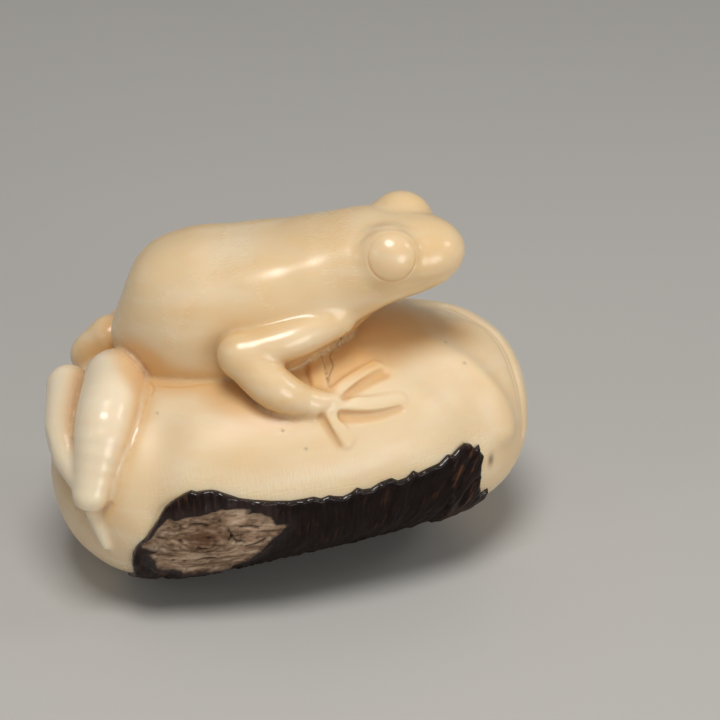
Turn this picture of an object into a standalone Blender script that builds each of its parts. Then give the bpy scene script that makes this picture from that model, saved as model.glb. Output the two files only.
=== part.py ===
"""Tagua frog carving: a frog crouching on the whole nut that it is carved from.

For Blender 4.5, in metres, +Z up. +X runs along the nut towards the frog's head, -Y is the side that the near hand
and the brown skin are on. The origin is on the flat spot that the nut rests on. The carving is one solid: rough
lobes and tubes are joined and remeshed, and the skin of the result is drawn onto the carved form, which is worked
out as a distance field.
"""
import math
from dataclasses import dataclass
from functools import cache

import bmesh
import bpy
import numpy as np
from mathutils import Matrix

# The nut, from end to end, front to back and top to bottom
NUT_LENGTH = 0.0585
NUT_WIDTH = 0.0354
NUT_HEIGHT = 0.0296
NUT_PITCH = math.radians(4.5)
NUT_POWER = 2.3
REST_DEPTH = 0.00045
WORN_ROUNDING = 0.004

# The brown skin left on the nut, and the cuts in the bare ivory
SKIN_THICKNESS = 0.0005
HILUM_DEPTH = 0.0007
CREST_HEIGHT = 0.0010
VALLEY_DEPTH = 0.0008
GROOVE_DEPTH = 0.0011

# The frog, from rump to snout, laid out on a grid of 42 steps
FROG_LENGTH = 0.042
FROG_TURN = math.radians(-22)
HEAD_TURN = math.radians(-6)
STEP = FROG_LENGTH / 42
TOE_RADIUS = 0.00078
LEFT_HAND_BACK = 2.0

# The mesh
SCULPT_VOXEL = 0.0005
TRIANGLES = 9400
FLAT_CATCH = 0.00003

IVORY = (0.79, 0.63, 0.42, 1.0)
NUT_SKIN = (0.045, 0.024, 0.016, 1.0)


@dataclass(frozen=True)
class Lobe:
    """A rounded lump, an ellipsoid at power 2 and boxier above it, and how softly it joins what comes before."""

    name: str
    centre: np.ndarray
    radii: np.ndarray
    turn: np.ndarray
    power: float
    join: float


@dataclass(frozen=True)
class Limb:
    """A round limb along stations of x, y, z and radius, joined to what comes before over a soft width."""

    name: str
    stations: np.ndarray
    join: float


def turn_matrix(yaw, pitch=0.0):
    """Columns are the turned x, y and z axes: nose up by the pitch, then yawed about z."""
    return np.array(Matrix.Rotation(yaw, 3, "Z") @ Matrix.Rotation(-pitch, 3, "Y"))


def reach(radii, direction, power):
    """How far a super-ellipsoid reaches from its centre along a unit direction given in its own axes."""
    dual = power / (power - 1)
    return float((np.abs(radii * direction) ** dual).sum() ** (1 / dual))


NUT_TURN = turn_matrix(0.0, NUT_PITCH)
NUT_RADII = np.array([NUT_LENGTH, NUT_WIDTH, NUT_HEIGHT]) / 2
NUT_REACH = reach(NUT_RADII, NUT_TURN[2], NUT_POWER)
NUT_CENTRE = np.array([-0.001 * NUT_LENGTH, 0.03 * NUT_WIDTH, NUT_REACH - REST_DEPTH])

NUT_FORM = Lobe("nut", NUT_CENTRE, NUT_RADII, NUT_TURN, NUT_POWER, 0)

# The nut is fuller at the far left, under the far hind leg, and at its upper right end
HAUNCH_BED = Lobe("haunch_bed", NUT_CENTRE + NUT_RADII * np.array([-0.56, 0.48, 0.17]),
                  NUT_RADII * np.array([0.34, 0.54, 0.54]), NUT_TURN, 2.0, 0.003)
END_SWELL = Lobe("end_swell", NUT_CENTRE + NUT_RADII * np.array([0.64, 0.10, 0.32]),
                 NUT_RADII * np.array([0.34, 0.66, 0.50]), NUT_TURN, 2.0, 0.002)

# The lower front, from the middle out, as a direction and a share of half the nut's height
WORN_SIDE = np.array([0.05, -0.575, -0.817])
WORN_SHARE = 0.93

FROG_AXES = turn_matrix(FROG_TURN)
FROG_SEAT = np.array([-0.115 * NUT_LENGTH, 0.12 * NUT_WIDTH, 2 * NUT_REACH - 0.02 * NUT_HEIGHT - REST_DEPTH])


def on_frog(x, y, z):
    """The world place of a point on the frog's grid: x forward, y to its left, z up from its seat."""
    return FROG_SEAT + FROG_AXES @ (np.array([x, y, z]) * STEP)


def blend(first, second, width):
    """The nearer of two distances, with the corner between them rounded over a width."""
    overlap = np.maximum(width - np.abs(first - second), 0) / width
    return np.minimum(first, second) - overlap ** 2 * width / 4


def lobe_distance(points, lobe):
    """Roughly how far each point is outside a lobe, negative inside."""
    share = np.abs((points - lobe.centre) @ lobe.turn / lobe.radii) + 1e-6
    size = (share ** lobe.power).sum(-1) ** (1 / lobe.power)
    slope = np.sqrt(((share ** (lobe.power - 1) / lobe.radii) ** 2).sum(-1)) * size ** (1 - lobe.power)
    return (size - 1) / np.maximum(slope, 0.5 / lobe.radii.max())


def smooth_line(stations, steps=5):
    """More stations on a smooth curve through the given ones, by the Catmull-Rom rule."""
    ends = np.vstack([2 * stations[0] - stations[1], stations, 2 * stations[-1] - stations[-2]])
    fine = []
    for a, b, c, d in zip(ends, ends[1:], ends[2:], ends[3:]):
        for t in np.arange(steps) / steps:
            fine.append((2 * b + (c - a) * t + (2 * a - 5 * b + 4 * c - d) * t * t
                         + (3 * b - a - 3 * c + d) * t ** 3) / 2)
    return np.array(fine + [stations[-1]])


def limb_distance(points, stations, margin=0.005):
    """How far each point is outside a limb; points farther than the margin only get that it is far."""
    line = smooth_line(np.asarray(stations, float))
    low = (line[:, :3] - line[:, 3:]).min(0) - margin
    high = (line[:, :3] + line[:, 3:]).max(0) + margin
    beyond = np.maximum(np.maximum(low - points, points - high), 0)
    distance = np.sqrt((beyond ** 2).sum(-1)) + margin
    close = beyond.max(-1) <= 0
    inside = points[close]
    nearest = np.full(len(inside), np.inf)
    for start, end in zip(line, line[1:]):
        along = end[:3] - start[:3]
        share = np.clip((inside - start[:3]) @ along / (along @ along), 0, 1)[:, None]
        gap = inside - start[:3] - share * along
        radius = start[3] + share[:, 0] * (end[3] - start[3])
        nearest = np.minimum(nearest, np.sqrt((gap ** 2).sum(-1)) - radius)
    distance[close] = nearest
    return distance


def soft_step(value, edge, width):
    """0 below the edge, 1 above it, over a width."""
    t = np.clip((value - edge) / width + 0.5, 0, 1)
    return t * t * (3 - 2 * t)


def roll_angle(points):
    """Degrees around the nut's long axis: 0 at the front, 90 on top, -90 below."""
    across = points[:, 1] - NUT_CENTRE[1]
    return np.degrees(np.arctan2(points[:, 2] - NUT_CENTRE[2], -across))


# The skin's top edge: shares of the nut's length from its middle, each with the roll angle of the edge there
SKIN_TOP_EDGE = ((-0.385, -40), (-0.36, -14), (-0.34, 6), (-0.29, 16), (-0.22, 14), (-0.13, 8.5), (-0.02, 7.5),
                 (0.10, 9), (0.21, 12), (0.27, 17), (0.315, 14), (0.335, -4), (0.355, -40))
SKIN_LOWER_EDGE = -125


def skin_share(points):
    """1 where the brown skin is left on the lower front and the underside, 0 on bare ivory."""
    stations, top_edge = np.array(SKIN_TOP_EDGE).T
    x = points[:, 0] / NUT_LENGTH
    angle = roll_angle(points)
    top = np.interp(x, stations, top_edge)
    ends = soft_step(x, stations[0], 0.012) * (1 - soft_step(x, stations[-1], 0.012))
    return ends * (1 - soft_step(angle, top, 3)) * soft_step(angle, SKIN_LOWER_EDGE, 6)


def hilum_share(points):
    """1 in the bare oval scar on the skin's left part, 0 outside it."""
    x = (points[:, 0] / NUT_LENGTH + 0.235) / 0.135
    angle = (roll_angle(points) + 12) / 17
    return 1 - soft_step(np.hypot(x, angle), 1, 0.2)


def bare_nut_distance(points):
    """How far each point is outside the nut's plain form, an egg shape with its lower front worn flatter."""
    egg = lobe_distance(points, NUT_FORM)
    worn = (points - NUT_CENTRE) @ WORN_SIDE - WORN_SHARE * NUT_HEIGHT / 2
    egg = -blend(-egg, -worn, WORN_ROUNDING)
    for swelling in (HAUNCH_BED, END_SWELL):
        egg = blend(egg, lobe_distance(points, swelling), swelling.join)
    return egg


def settle(place, distance, lift=0.0):
    """The place moved straight onto a form's surface, then lifted off it."""
    probe = np.asarray(place, float)
    small = 0.00005
    for _ in range(12):
        samples = probe + small * np.vstack([np.eye(3), -np.eye(3), np.zeros((1, 3))])
        values = distance(samples)
        outward = values[:3] - values[3:6]
        outward /= np.linalg.norm(outward)
        probe = probe - outward * values[6]
    return probe + outward * lift


def line_share(points, line, width):
    """1 on a smooth line on the nut's surface, falling to 0 away from it."""
    return np.exp(-(limb_distance(points, line) / width) ** 2)


@cache
def surface_line(shares):
    """Stations of a line on the nut's surface, from places given as shares of its radii."""
    places = [settle(NUT_CENTRE + NUT_RADII * np.array(share), bare_nut_distance) for share in shares]
    return np.array([(*place, 0) for place in places])


CREST_LINE = ((0.48, -0.05, 0.98), (0.52, -0.28, 0.94), (0.59, -0.43, 0.87), (0.65, -0.50, 0.80),
              (0.70, -0.58, 0.70), (0.75, -0.64, 0.58), (0.79, -0.68, 0.39), (0.80, -0.70, 0.26))
VALLEY_LINE = ((0.36, -0.38, 0.93), (0.46, -0.55, 0.82), (0.56, -0.66, 0.64), (0.62, -0.74, 0.42))
GROOVE_LINE = ((0.73, 0.25, 0.80), (0.80, 0.09, 0.77), (0.85, 0.00, 0.72), (0.88, -0.16, 0.64),
               (0.89, -0.37, 0.50), (0.90, -0.47, 0.28), (0.91, -0.49, 0.08))
THIGH_VALLEY_LINE = ((-0.62, -0.52, 0.62), (-0.66, -0.66, 0.38), (-0.67, -0.72, 0.12))


def nut_distance(points):
    """How far each point is outside the nut, with its skin, scar, crest and grooves."""
    nut = bare_nut_distance(points)
    scar = hilum_share(points)
    nut -= SKIN_THICKNESS * skin_share(points) - HILUM_DEPTH * scar
    crest = soft_step(points[:, 0] / NUT_LENGTH, 0.31, 0.18)
    nut -= CREST_HEIGHT * crest * line_share(points, surface_line(CREST_LINE), 0.0017)
    nut += VALLEY_DEPTH * line_share(points, surface_line(VALLEY_LINE), 0.003)
    nut += VALLEY_DEPTH * line_share(points, surface_line(THIGH_VALLEY_LINE), 0.0025)
    nut += GROOVE_DEPTH * line_share(points, surface_line(GROOVE_LINE), 0.0007)
    return nut


def on_nut(place, lift=0.0):
    """The place moved straight onto the nut, then lifted off it."""
    return settle(place, nut_distance, lift)


def frog_lobes():
    """The frog's trunk, head and eye domes, from the rump forward."""
    lean = turn_matrix(FROG_TURN, math.radians(15))
    face = turn_matrix(FROG_TURN + HEAD_TURN)
    trunk = [("rump", -7.5, -0.6, 5.6), ("pelvis", -4.2, 6.1, 6.2), ("belly", -2.9, 2.2, 8.2),
             ("flank", 1.3, 2.7, 9.3), ("chest", 7.4, 5.6, 8.1), ("neck", 13.9, 8.6, 6.2)]
    lobes = []
    for name, x, z, radius in trunk:
        radii = np.array([1.12, 1.09, 0.95]) * radius * STEP
        lobes.append(Lobe(name, on_frog(x, 0, z), radii, lean, 2.4, 3.0 * STEP))
    heads = [("skull", (18.0, 0.2, 10.5), (7.2, 6.5, 4.9), 3.0),
             ("snout", (23.0, -0.4, 12.0), (4.8, 4.7, 3.9), 2.5),
             ("eye.right", (19.2, -4.1, 12.3), (3.9, 3.5, 3.8), 0.9),
             ("eye.left", (20.1, 4.1, 12.7), (3.9, 3.5, 3.9), 0.9)]
    for name, place, radii, join in heads:
        lobes.append(Lobe(name, on_frog(*place), np.array(radii) * STEP, face, 2.0, join * STEP))
    return lobes


def limb(name, places, radii, join):
    """A limb through places, with its radii and its join given in steps."""
    stations = [(*place, radius * STEP) for place, radius in zip(places, radii)]
    return Limb(name, np.array(stations), join * STEP)


def arm(side, name, back):
    """One arm: upper arm from the shoulder back to the elbow, forearm forward to the wrist on the nut.

    The side is -1 on the frog's right and 1 on its left, and the hand is set back by some steps.
    """
    shoulder = on_frog(13.1, side * 6.1, 5.2)
    upper = on_frog(8.4, side * 9.7, 4.2)
    elbow = on_frog(2.6, side * 11.3, 2.9)
    fore = on_frog(6.9 - back / 2, side * 13.0, -0.5)
    wrist = on_nut(on_frog(10.9 - back, side * 12.2, -2.6), 0.1 * STEP)
    return [limb(f"upper_arm.{name}", (shoulder, upper, elbow), (2.2, 2.3, 2.5), 0.8),
            limb(f"forearm.{name}", (elbow, fore, wrist), (2.5, 2.5, 1.6), 0.8)]


def hand(side, name, back):
    """The palm and four spread toes, laid on the nut, on one side and set back by some steps."""
    toes = [[(12.0, 11.0, -2.2), (11.2, 8.6, -0.9), (10.9, 6.3, -0.2)],
            [(13.2, 11.0, -2.5), (15.2, 8.6, -1.5), (17.9, 5.8, -0.9)],
            [(13.3, 11.6, -3.1), (17.0, 10.7, -3.5), (20.7, 9.0, -3.7)],
            [(12.6, 12.2, -3.3), (13.7, 13.3, -4.7), (15.0, 14.2, -6.3)]]
    lifts = (0.30 * TOE_RADIUS, 0.30 * TOE_RADIUS, -0.25 * TOE_RADIUS)
    places = [on_nut(on_frog(x - back, side * y, -2.8), 0.0) for x, y in ((11.6, 12.0), (13.0, 11.5))]
    limbs = [limb(f"palm.{name}", places, (1.3, 1.0), 0.6)]
    for number, toe in enumerate(toes, 1):
        places = [on_nut(on_frog(x - back, side * y, z), lift) for (x, y, z), lift in zip(toe, lifts)]
        stations = [(*place, TOE_RADIUS) for place in places]
        limbs.append(Limb(f"toe_{number}.{name}", np.array(stations), 0.4 * STEP))
    return limbs


def leg(side, name, shank):
    """A folded hind leg: the thick thigh down to the knee, the shank back up beside it, and the low foot.

    The shank is a list of x, y, z, lift off the nut and radius, from above the knee to the ankle or past it.
    """
    hip = on_nut(on_frog(-12.4, side * 6.6, -4.2), 0.6 * STEP)
    thigh = on_nut(on_frog(-13.1, side * 13.7, -6.2), 1.0 * STEP)
    knee = on_nut(on_frog(-14.1, side * 18.1, -12.1), 0.8 * STEP)
    places = [knee] + [on_nut(on_frog(x, y, z), lift * STEP) for x, y, z, lift, _ in shank]
    foot = [on_nut(on_frog(-14.3, side * 19.0, -14.5), 0.1 * STEP), on_nut(on_frog(-13.2, side * 20.3, -19.0))]
    return [limb(f"thigh.{name}", (hip, thigh, knee), (3.8, 3.5, 2.2), 0.4),
            limb(f"shank.{name}", places, [1.6] + [station[4] for station in shank], 0.4),
            limb(f"foot.{name}", foot, (0.8, 0.6), 1.0)]


RIGHT_SHANK = ((-17.7, -13.6, -8.3, 1.6, 1.9), (-18.7, -5.8, -5.0, 2.1, 2.5))
LEFT_SHANK = ((-16.2, 9.3, -6.0, 0.9, 2.2), (-18.3, 4.4, -5.2, 1.0, 2.5), (-14.6, 3.6, -4.2, 1.5, 2.9))


@cache
def carving_forms():
    """The frog's lobes and limbs, in the order in which they are joined, up to the nut."""
    right = leg(-1, "right", RIGHT_SHANK)
    left = leg(1, "left", LEFT_SHANK)
    return frog_lobes() + arm(-1, "right", 0) + right + arm(1, "left", LEFT_HAND_BACK) + left


@cache
def hand_forms():
    """Both hands, which are joined after the nut that they lie on."""
    return hand(-1, "right", 0) + hand(1, "left", LEFT_HAND_BACK)


def form_distance(points, form):
    """How far each point is outside a lobe or a limb."""
    if isinstance(form, Lobe):
        return lobe_distance(points, form)
    return limb_distance(points, form.stations)


def carving_distance(points):
    """How far each point is outside the whole carving, negative inside."""
    forms = carving_forms()
    distance = form_distance(points, forms[0])
    for form in forms[1:]:
        distance = blend(distance, form_distance(points, form), form.join)
    distance = blend(distance, nut_distance(points), 0.6 * STEP)
    for form in hand_forms():
        distance = blend(distance, form_distance(points, form), form.join)
    return distance


def add_lump(lobe, target):
    """A rough ball of a lobe's size, added to a bmesh."""
    ball = bmesh.ops.create_icosphere(target, subdivisions=4, radius=1.0)
    for vert in ball["verts"]:
        direction = np.array(vert.co)
        size = (np.abs(direction) ** lobe.power).sum() ** (1 / lobe.power)
        vert.co = lobe.centre + lobe.turn @ (direction / size * lobe.radii)


def add_tube(limb, target):
    """A string of balls along a limb, added to a bmesh."""
    for x, y, z, radius in smooth_line(limb.stations):
        place = Matrix.Translation((x, y, z)) @ Matrix.Scale(radius, 4)
        bmesh.ops.create_icosphere(target, subdivisions=2, radius=1.0, matrix=place)


def rough_mesh():
    """All lumps and tubes in one mesh, still overlapping."""
    rough = bmesh.new()
    for lobe in (NUT_FORM, HAUNCH_BED, END_SWELL):
        add_lump(lobe, rough)
    for form in carving_forms() + hand_forms():
        if isinstance(form, Lobe):
            add_lump(form, rough)
        else:
            add_tube(form, rough)
    mesh = bpy.data.meshes.new("rough")
    rough.to_mesh(mesh)
    rough.free()
    return mesh


def modified(obj, kind, **settings):
    """The object's mesh replaced by what one modifier makes of it."""
    modifier = obj.modifiers.new(kind.title(), kind)
    for key, value in settings.items():
        setattr(modifier, key, value)
    bpy.context.view_layer.update()
    evaluated = obj.evaluated_get(bpy.context.evaluated_depsgraph_get())
    mesh = bpy.data.meshes.new_from_object(evaluated)
    old = obj.data
    obj.modifiers.clear()
    obj.data = mesh
    bpy.data.meshes.remove(old)


def coordinates(mesh):
    """The mesh's points as an array."""
    flat = np.empty(len(mesh.vertices) * 3)
    mesh.vertices.foreach_get("co", flat)
    return flat.reshape(-1, 3)


def press(mesh, rounds=4):
    """The mesh's points moved onto the carved form, and flat at z = 0 below."""
    points = coordinates(mesh)
    small = 0.00004
    corners = small * np.array([(1, 1, 1), (1, -1, -1), (-1, 1, -1), (-1, -1, 1)])
    for turn in range(rounds):
        if turn % 2 == 0:
            outward = sum(carving_distance(points + corner)[:, None] * corner for corner in corners)
            outward /= np.linalg.norm(outward, axis=1, keepdims=True) + 1e-12
        points = points - outward * np.clip(carving_distance(points), -0.0004, 0.0004)[:, None]
    points[:, 2] = np.maximum(points[:, 2], 0)
    mesh.vertices.foreach_set("co", points.ravel())
    mesh.update()


def flatten_rest(mesh):
    """The points of the flat spot moved exactly onto z = 0, where thinning the mesh left them just off it."""
    points = coordinates(mesh)
    points[points[:, 2] < FLAT_CATCH, 2] = 0
    mesh.vertices.foreach_set("co", points.ravel())
    mesh.update()


def dress(obj):
    """Ivory all over and brown on the faces in the skin's place."""
    for name, colour, roughness in (("ivory", IVORY, 0.32), ("nut_skin", NUT_SKIN, 0.6)):
        material = bpy.data.materials.new(name)
        material.use_nodes = True
        shader = material.node_tree.nodes["Principled BSDF"]
        shader.inputs["Base Color"].default_value = colour
        shader.inputs["Roughness"].default_value = roughness
        shader.inputs["Metallic"].default_value = 0.0
        obj.data.materials.append(material)
    centres = np.array([face.center for face in obj.data.polygons])
    brown = skin_share(centres) > 0.5
    near_nut = np.abs(nut_distance(centres)) < SKIN_THICKNESS
    for face, skin, nut in zip(obj.data.polygons, brown, near_nut):
        face.material_index = int(skin and nut)


def build():
    """The carving as one closed mesh in a collection named for it."""
    for old in list(bpy.data.objects):
        bpy.data.objects.remove(old)
    collection = bpy.data.collections.new("tagua_frog_carving")
    bpy.context.scene.collection.children.link(collection)
    carving = bpy.data.objects.new("frog_on_nut", rough_mesh())
    collection.objects.link(carving)
    modified(carving, "REMESH", mode="VOXEL", voxel_size=SCULPT_VOXEL)
    press(carving.data)
    modified(carving, "REMESH", mode="VOXEL", voxel_size=SCULPT_VOXEL)
    press(carving.data)
    modified(carving, "DECIMATE", ratio=TRIANGLES / (2 * len(carving.data.polygons)))
    flatten_rest(carving.data)
    dress(carving)
    carving.data.shade_smooth()


build()
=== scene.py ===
"""The tagua frog carving, dressed: polished vegetable ivory, and the rough skin and scar left on the nut.

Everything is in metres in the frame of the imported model. The forms of the nut and the frog are distance
fields, as in the carving's solid. The ivory is the solid's surface, meshed finely and drawn onto those
fields with the carver's small cuts added. The skin is a ragged shell that lies on the lower front and the
underside of the nut.
"""

import logging
import math
from collections.abc import Callable
from dataclasses import dataclass
from enum import Enum
from functools import cached_property

import bmesh
import bpy
import numpy as np
from mathutils import Matrix, Vector


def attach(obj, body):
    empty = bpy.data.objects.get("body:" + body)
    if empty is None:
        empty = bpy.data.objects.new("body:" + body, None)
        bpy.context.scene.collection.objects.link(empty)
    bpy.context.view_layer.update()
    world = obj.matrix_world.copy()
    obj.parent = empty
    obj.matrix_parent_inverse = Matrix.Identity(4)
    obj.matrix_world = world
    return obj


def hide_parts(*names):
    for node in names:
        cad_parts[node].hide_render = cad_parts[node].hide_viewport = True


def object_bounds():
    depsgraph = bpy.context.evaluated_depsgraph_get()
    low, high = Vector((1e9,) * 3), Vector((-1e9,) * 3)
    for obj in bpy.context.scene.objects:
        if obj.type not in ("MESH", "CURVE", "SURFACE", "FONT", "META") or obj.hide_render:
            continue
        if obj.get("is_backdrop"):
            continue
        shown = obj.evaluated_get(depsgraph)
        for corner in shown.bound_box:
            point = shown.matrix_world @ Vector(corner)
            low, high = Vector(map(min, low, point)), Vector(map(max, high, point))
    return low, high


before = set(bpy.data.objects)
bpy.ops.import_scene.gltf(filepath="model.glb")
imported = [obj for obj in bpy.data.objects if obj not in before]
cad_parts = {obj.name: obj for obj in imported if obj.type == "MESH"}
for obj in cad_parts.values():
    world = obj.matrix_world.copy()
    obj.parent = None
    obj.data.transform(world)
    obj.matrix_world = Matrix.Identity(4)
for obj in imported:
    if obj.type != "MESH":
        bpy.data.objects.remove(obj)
CAD_LOW, CAD_HIGH = (np.array(corner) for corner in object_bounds())

LOG = logging.getLogger("tagua_frog")
MM = 0.001
FINE_PROBE = 0.04 * MM

Field = Callable[[np.ndarray], np.ndarray]
Socket = bpy.types.NodeSocket
Value = Socket | float
Colour = Socket | tuple


class Side(Enum):
    """The frog's two sides, as the sign of y on its own grid."""

    RIGHT = -1
    LEFT = 1

    @property
    def word(self) -> str:
        """The side's name in plain words."""
        return self.name.lower()


def turned(yaw: float, pitch: float = 0.0) -> np.ndarray:
    """Axes that are pitched nose up and then yawed about z.

    Args:
        yaw: turn about z in radians.
        pitch: nose-up turn in radians.

    Returns:
        A 3 by 3 array whose columns are the turned x, y and z axes.
    """
    return np.array(Matrix.Rotation(yaw, 3, "Z") @ Matrix.Rotation(-pitch, 3, "Y"))


def blended(first: np.ndarray, second: np.ndarray, width: float) -> np.ndarray:
    """The nearer of two distances, with the corner between them rounded.

    Args:
        first: distances to one form.
        second: distances to another form.
        width: how wide the rounding is.

    Returns:
        The joined distances.
    """
    overlap = np.maximum(width - np.abs(first - second), 0) / width
    return np.minimum(first, second) - overlap ** 2 * width / 4


def soft_step(value: np.ndarray, edge: float | np.ndarray, width: float) -> np.ndarray:
    """0 below an edge and 1 above it.

    Args:
        value: the values to step.
        edge: where the step's middle is.
        width: how wide the step is.

    Returns:
        Shares from 0 to 1.
    """
    t = np.clip((value - edge) / width + 0.5, 0, 1)
    return t * t * (3 - 2 * t)


def smooth_line(stations: np.ndarray, steps: int = 5) -> np.ndarray:
    """More stations on a smooth curve through the given ones, by the Catmull-Rom rule.

    Args:
        stations: rows of numbers along a line.
        steps: how many rows take the place of each.

    Returns:
        The finer rows.
    """
    ends = np.vstack([2 * stations[0] - stations[1], stations, 2 * stations[-1] - stations[-2]])
    fine = []
    for a, b, c, d in zip(ends, ends[1:], ends[2:], ends[3:]):
        for t in np.arange(steps) / steps:
            fine.append((2 * b + (c - a) * t + (2 * a - 5 * b + 4 * c - d) * t * t
                         + (3 * b - a - 3 * c + d) * t ** 3) / 2)
    return np.array(fine + [stations[-1]])


def line_distance(points: np.ndarray, line: np.ndarray, margin: float = 0.005) -> np.ndarray:
    """How far points are outside a round line of changing radius.

    Args:
        points: rows of x, y and z.
        line: rows of x, y, z and radius.
        margin: beyond this the distance is only known to be at least as much.

    Returns:
        One distance a point, negative inside.
    """
    low = (line[:, :3] - line[:, 3:]).min(0) - margin
    high = (line[:, :3] + line[:, 3:]).max(0) + margin
    beyond = np.maximum(np.maximum(low - points, points - high), 0)
    distance = np.sqrt((beyond ** 2).sum(-1)) + margin
    close = beyond.max(-1) <= 0
    inside = points[close]
    nearest = np.full(len(inside), np.inf)
    for start, end in zip(line, line[1:]):
        along = end[:3] - start[:3]
        share = np.clip((inside - start[:3]) @ along / max(along @ along, 1e-18), 0, 1)[:, None]
        gap = inside - start[:3] - share * along
        radius = start[3] + share[:, 0] * (end[3] - start[3])
        nearest = np.minimum(nearest, np.sqrt((gap ** 2).sum(-1)) - radius)
    distance[close] = np.minimum(nearest, margin)
    return distance


def with_zeros(rows: np.ndarray, count: int = 1) -> np.ndarray:
    """The rows with columns of zeros after their own."""
    return np.column_stack([rows, np.zeros((len(rows), count))])


def from_axis(points: np.ndarray, middle: np.ndarray, out: np.ndarray) -> tuple[np.ndarray, np.ndarray]:
    """Where points are round an axis.

    Args:
        points: rows of x, y and z.
        middle: where the axis starts.
        out: the axis's unit direction.

    Returns:
        How far each point is along the axis, and how far from it.
    """
    arm = points - middle
    along = arm @ out
    return along, np.sqrt(np.maximum((arm ** 2).sum(1) - along ** 2, 0))


def toward(azimuth: float, elevation: float) -> np.ndarray:
    """The direction from the carving to a thing that stands around it.

    Args:
        azimuth: turn about z in radians, 0 at the front.
        elevation: angle above the level in radians.

    Returns:
        The unit direction.
    """
    level = math.cos(elevation)
    return np.array([math.sin(azimuth) * level, -math.cos(azimuth) * level, math.sin(elevation)])


def placed(name: str, data: bpy.types.ID) -> bpy.types.Object:
    """A new object of the scene.

    Args:
        name: the object's name.
        data: its mesh, light or camera.

    Returns:
        The object.
    """
    obj = bpy.data.objects.new(name, data)
    bpy.context.scene.collection.objects.link(obj)
    return obj


def settled(places: np.ndarray, distance: Field, lift: float = 0.0, rounds: int = 5) -> np.ndarray:
    """Places moved straight onto a form's surface and then lifted off it.

    Args:
        places: rows of x, y and z.
        distance: the form's distance function.
        lift: how far above the surface they end.
        rounds: how many times the places are moved.

    Returns:
        The moved places.
    """
    probe = np.array(places, float)
    for _ in range(rounds):
        outward = outward_of(probe, distance)
        probe -= outward * distance(probe)[:, None]
    return probe + outward_of(probe, distance) * lift


def outward_of(points: np.ndarray, distance: Field, small: float = FINE_PROBE) -> np.ndarray:
    """The direction straight out of a form at each point.

    Args:
        points: rows of x, y and z.
        distance: the form's distance function.
        small: how far apart the form is felt.

    Returns:
        Unit directions.
    """
    corners = small * np.array([(1, 1, 1), (1, -1, -1), (-1, 1, -1), (-1, -1, 1)])
    outward = sum(distance(points + corner)[:, None] * corner for corner in corners)
    return outward / (np.linalg.norm(outward, axis=1, keepdims=True) + 1e-15)


@dataclass(frozen=True)
class Lobe:
    """A rounded lump: an ellipsoid at power 2 and boxier above it."""

    name: str
    centre: np.ndarray
    radii: np.ndarray
    turn: np.ndarray
    power: float
    join: float

    def distance(self, points: np.ndarray) -> np.ndarray:
        """Roughly how far points are outside the lump.

        Args:
            points: rows of x, y and z.

        Returns:
            One distance a point.
        """
        share = np.abs((points - self.centre) @ self.turn / self.radii) + 1e-6
        size = (share ** self.power).sum(-1) ** (1 / self.power)
        slope = np.sqrt(((share ** (self.power - 1) / self.radii) ** 2).sum(-1)) * size ** (1 - self.power)
        return (size - 1) / np.maximum(slope, 0.5 / self.radii.max())


@dataclass(frozen=True)
class Limb:
    """A round limb along stations of x, y, z and radius."""

    name: str
    stations: np.ndarray
    join: float

    @cached_property
    def line(self) -> np.ndarray:
        """The limb's finer stations."""
        return smooth_line(self.stations)

    def distance(self, points: np.ndarray) -> np.ndarray:
        """How far each point is outside the limb."""
        return line_distance(points, self.line)


def nearest(forms: list[Lobe | Limb], points: np.ndarray) -> np.ndarray:
    """How far each point is outside the nearest of several forms."""
    return np.min([form.distance(points) for form in forms], axis=0)


@dataclass(frozen=True)
class Grain:
    """Smooth random waves in space, the same on each run."""

    seed: int
    cells: int = 32

    @cached_property
    def lattice(self) -> np.ndarray:
        """Random heights from -1 to 1 at the corners of a block of cells."""
        return np.random.default_rng(self.seed).uniform(-1, 1, (self.cells,) * 3)

    def at(self, points: np.ndarray, size: float | tuple[float, float, float]) -> np.ndarray:
        """The height of the waves.

        Args:
            points: rows of x, y and z.
            size: a wave's size, or its sizes along x, y and z.

        Returns:
            One height a point, from -1 to 1.
        """
        place = points / np.asarray(size, float) + 1000.0
        cell = np.floor(place).astype(int)
        t = place - cell
        t = t * t * (3 - 2 * t)
        height = np.zeros(len(points))
        for corner in np.ndindex(2, 2, 2):
            weight = np.prod(np.where(np.array(corner) == 1, t, 1 - t), axis=1)
            at = (cell + corner) % self.cells
            height += weight * self.lattice[at[:, 0], at[:, 1], at[:, 2]]
        return height


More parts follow.
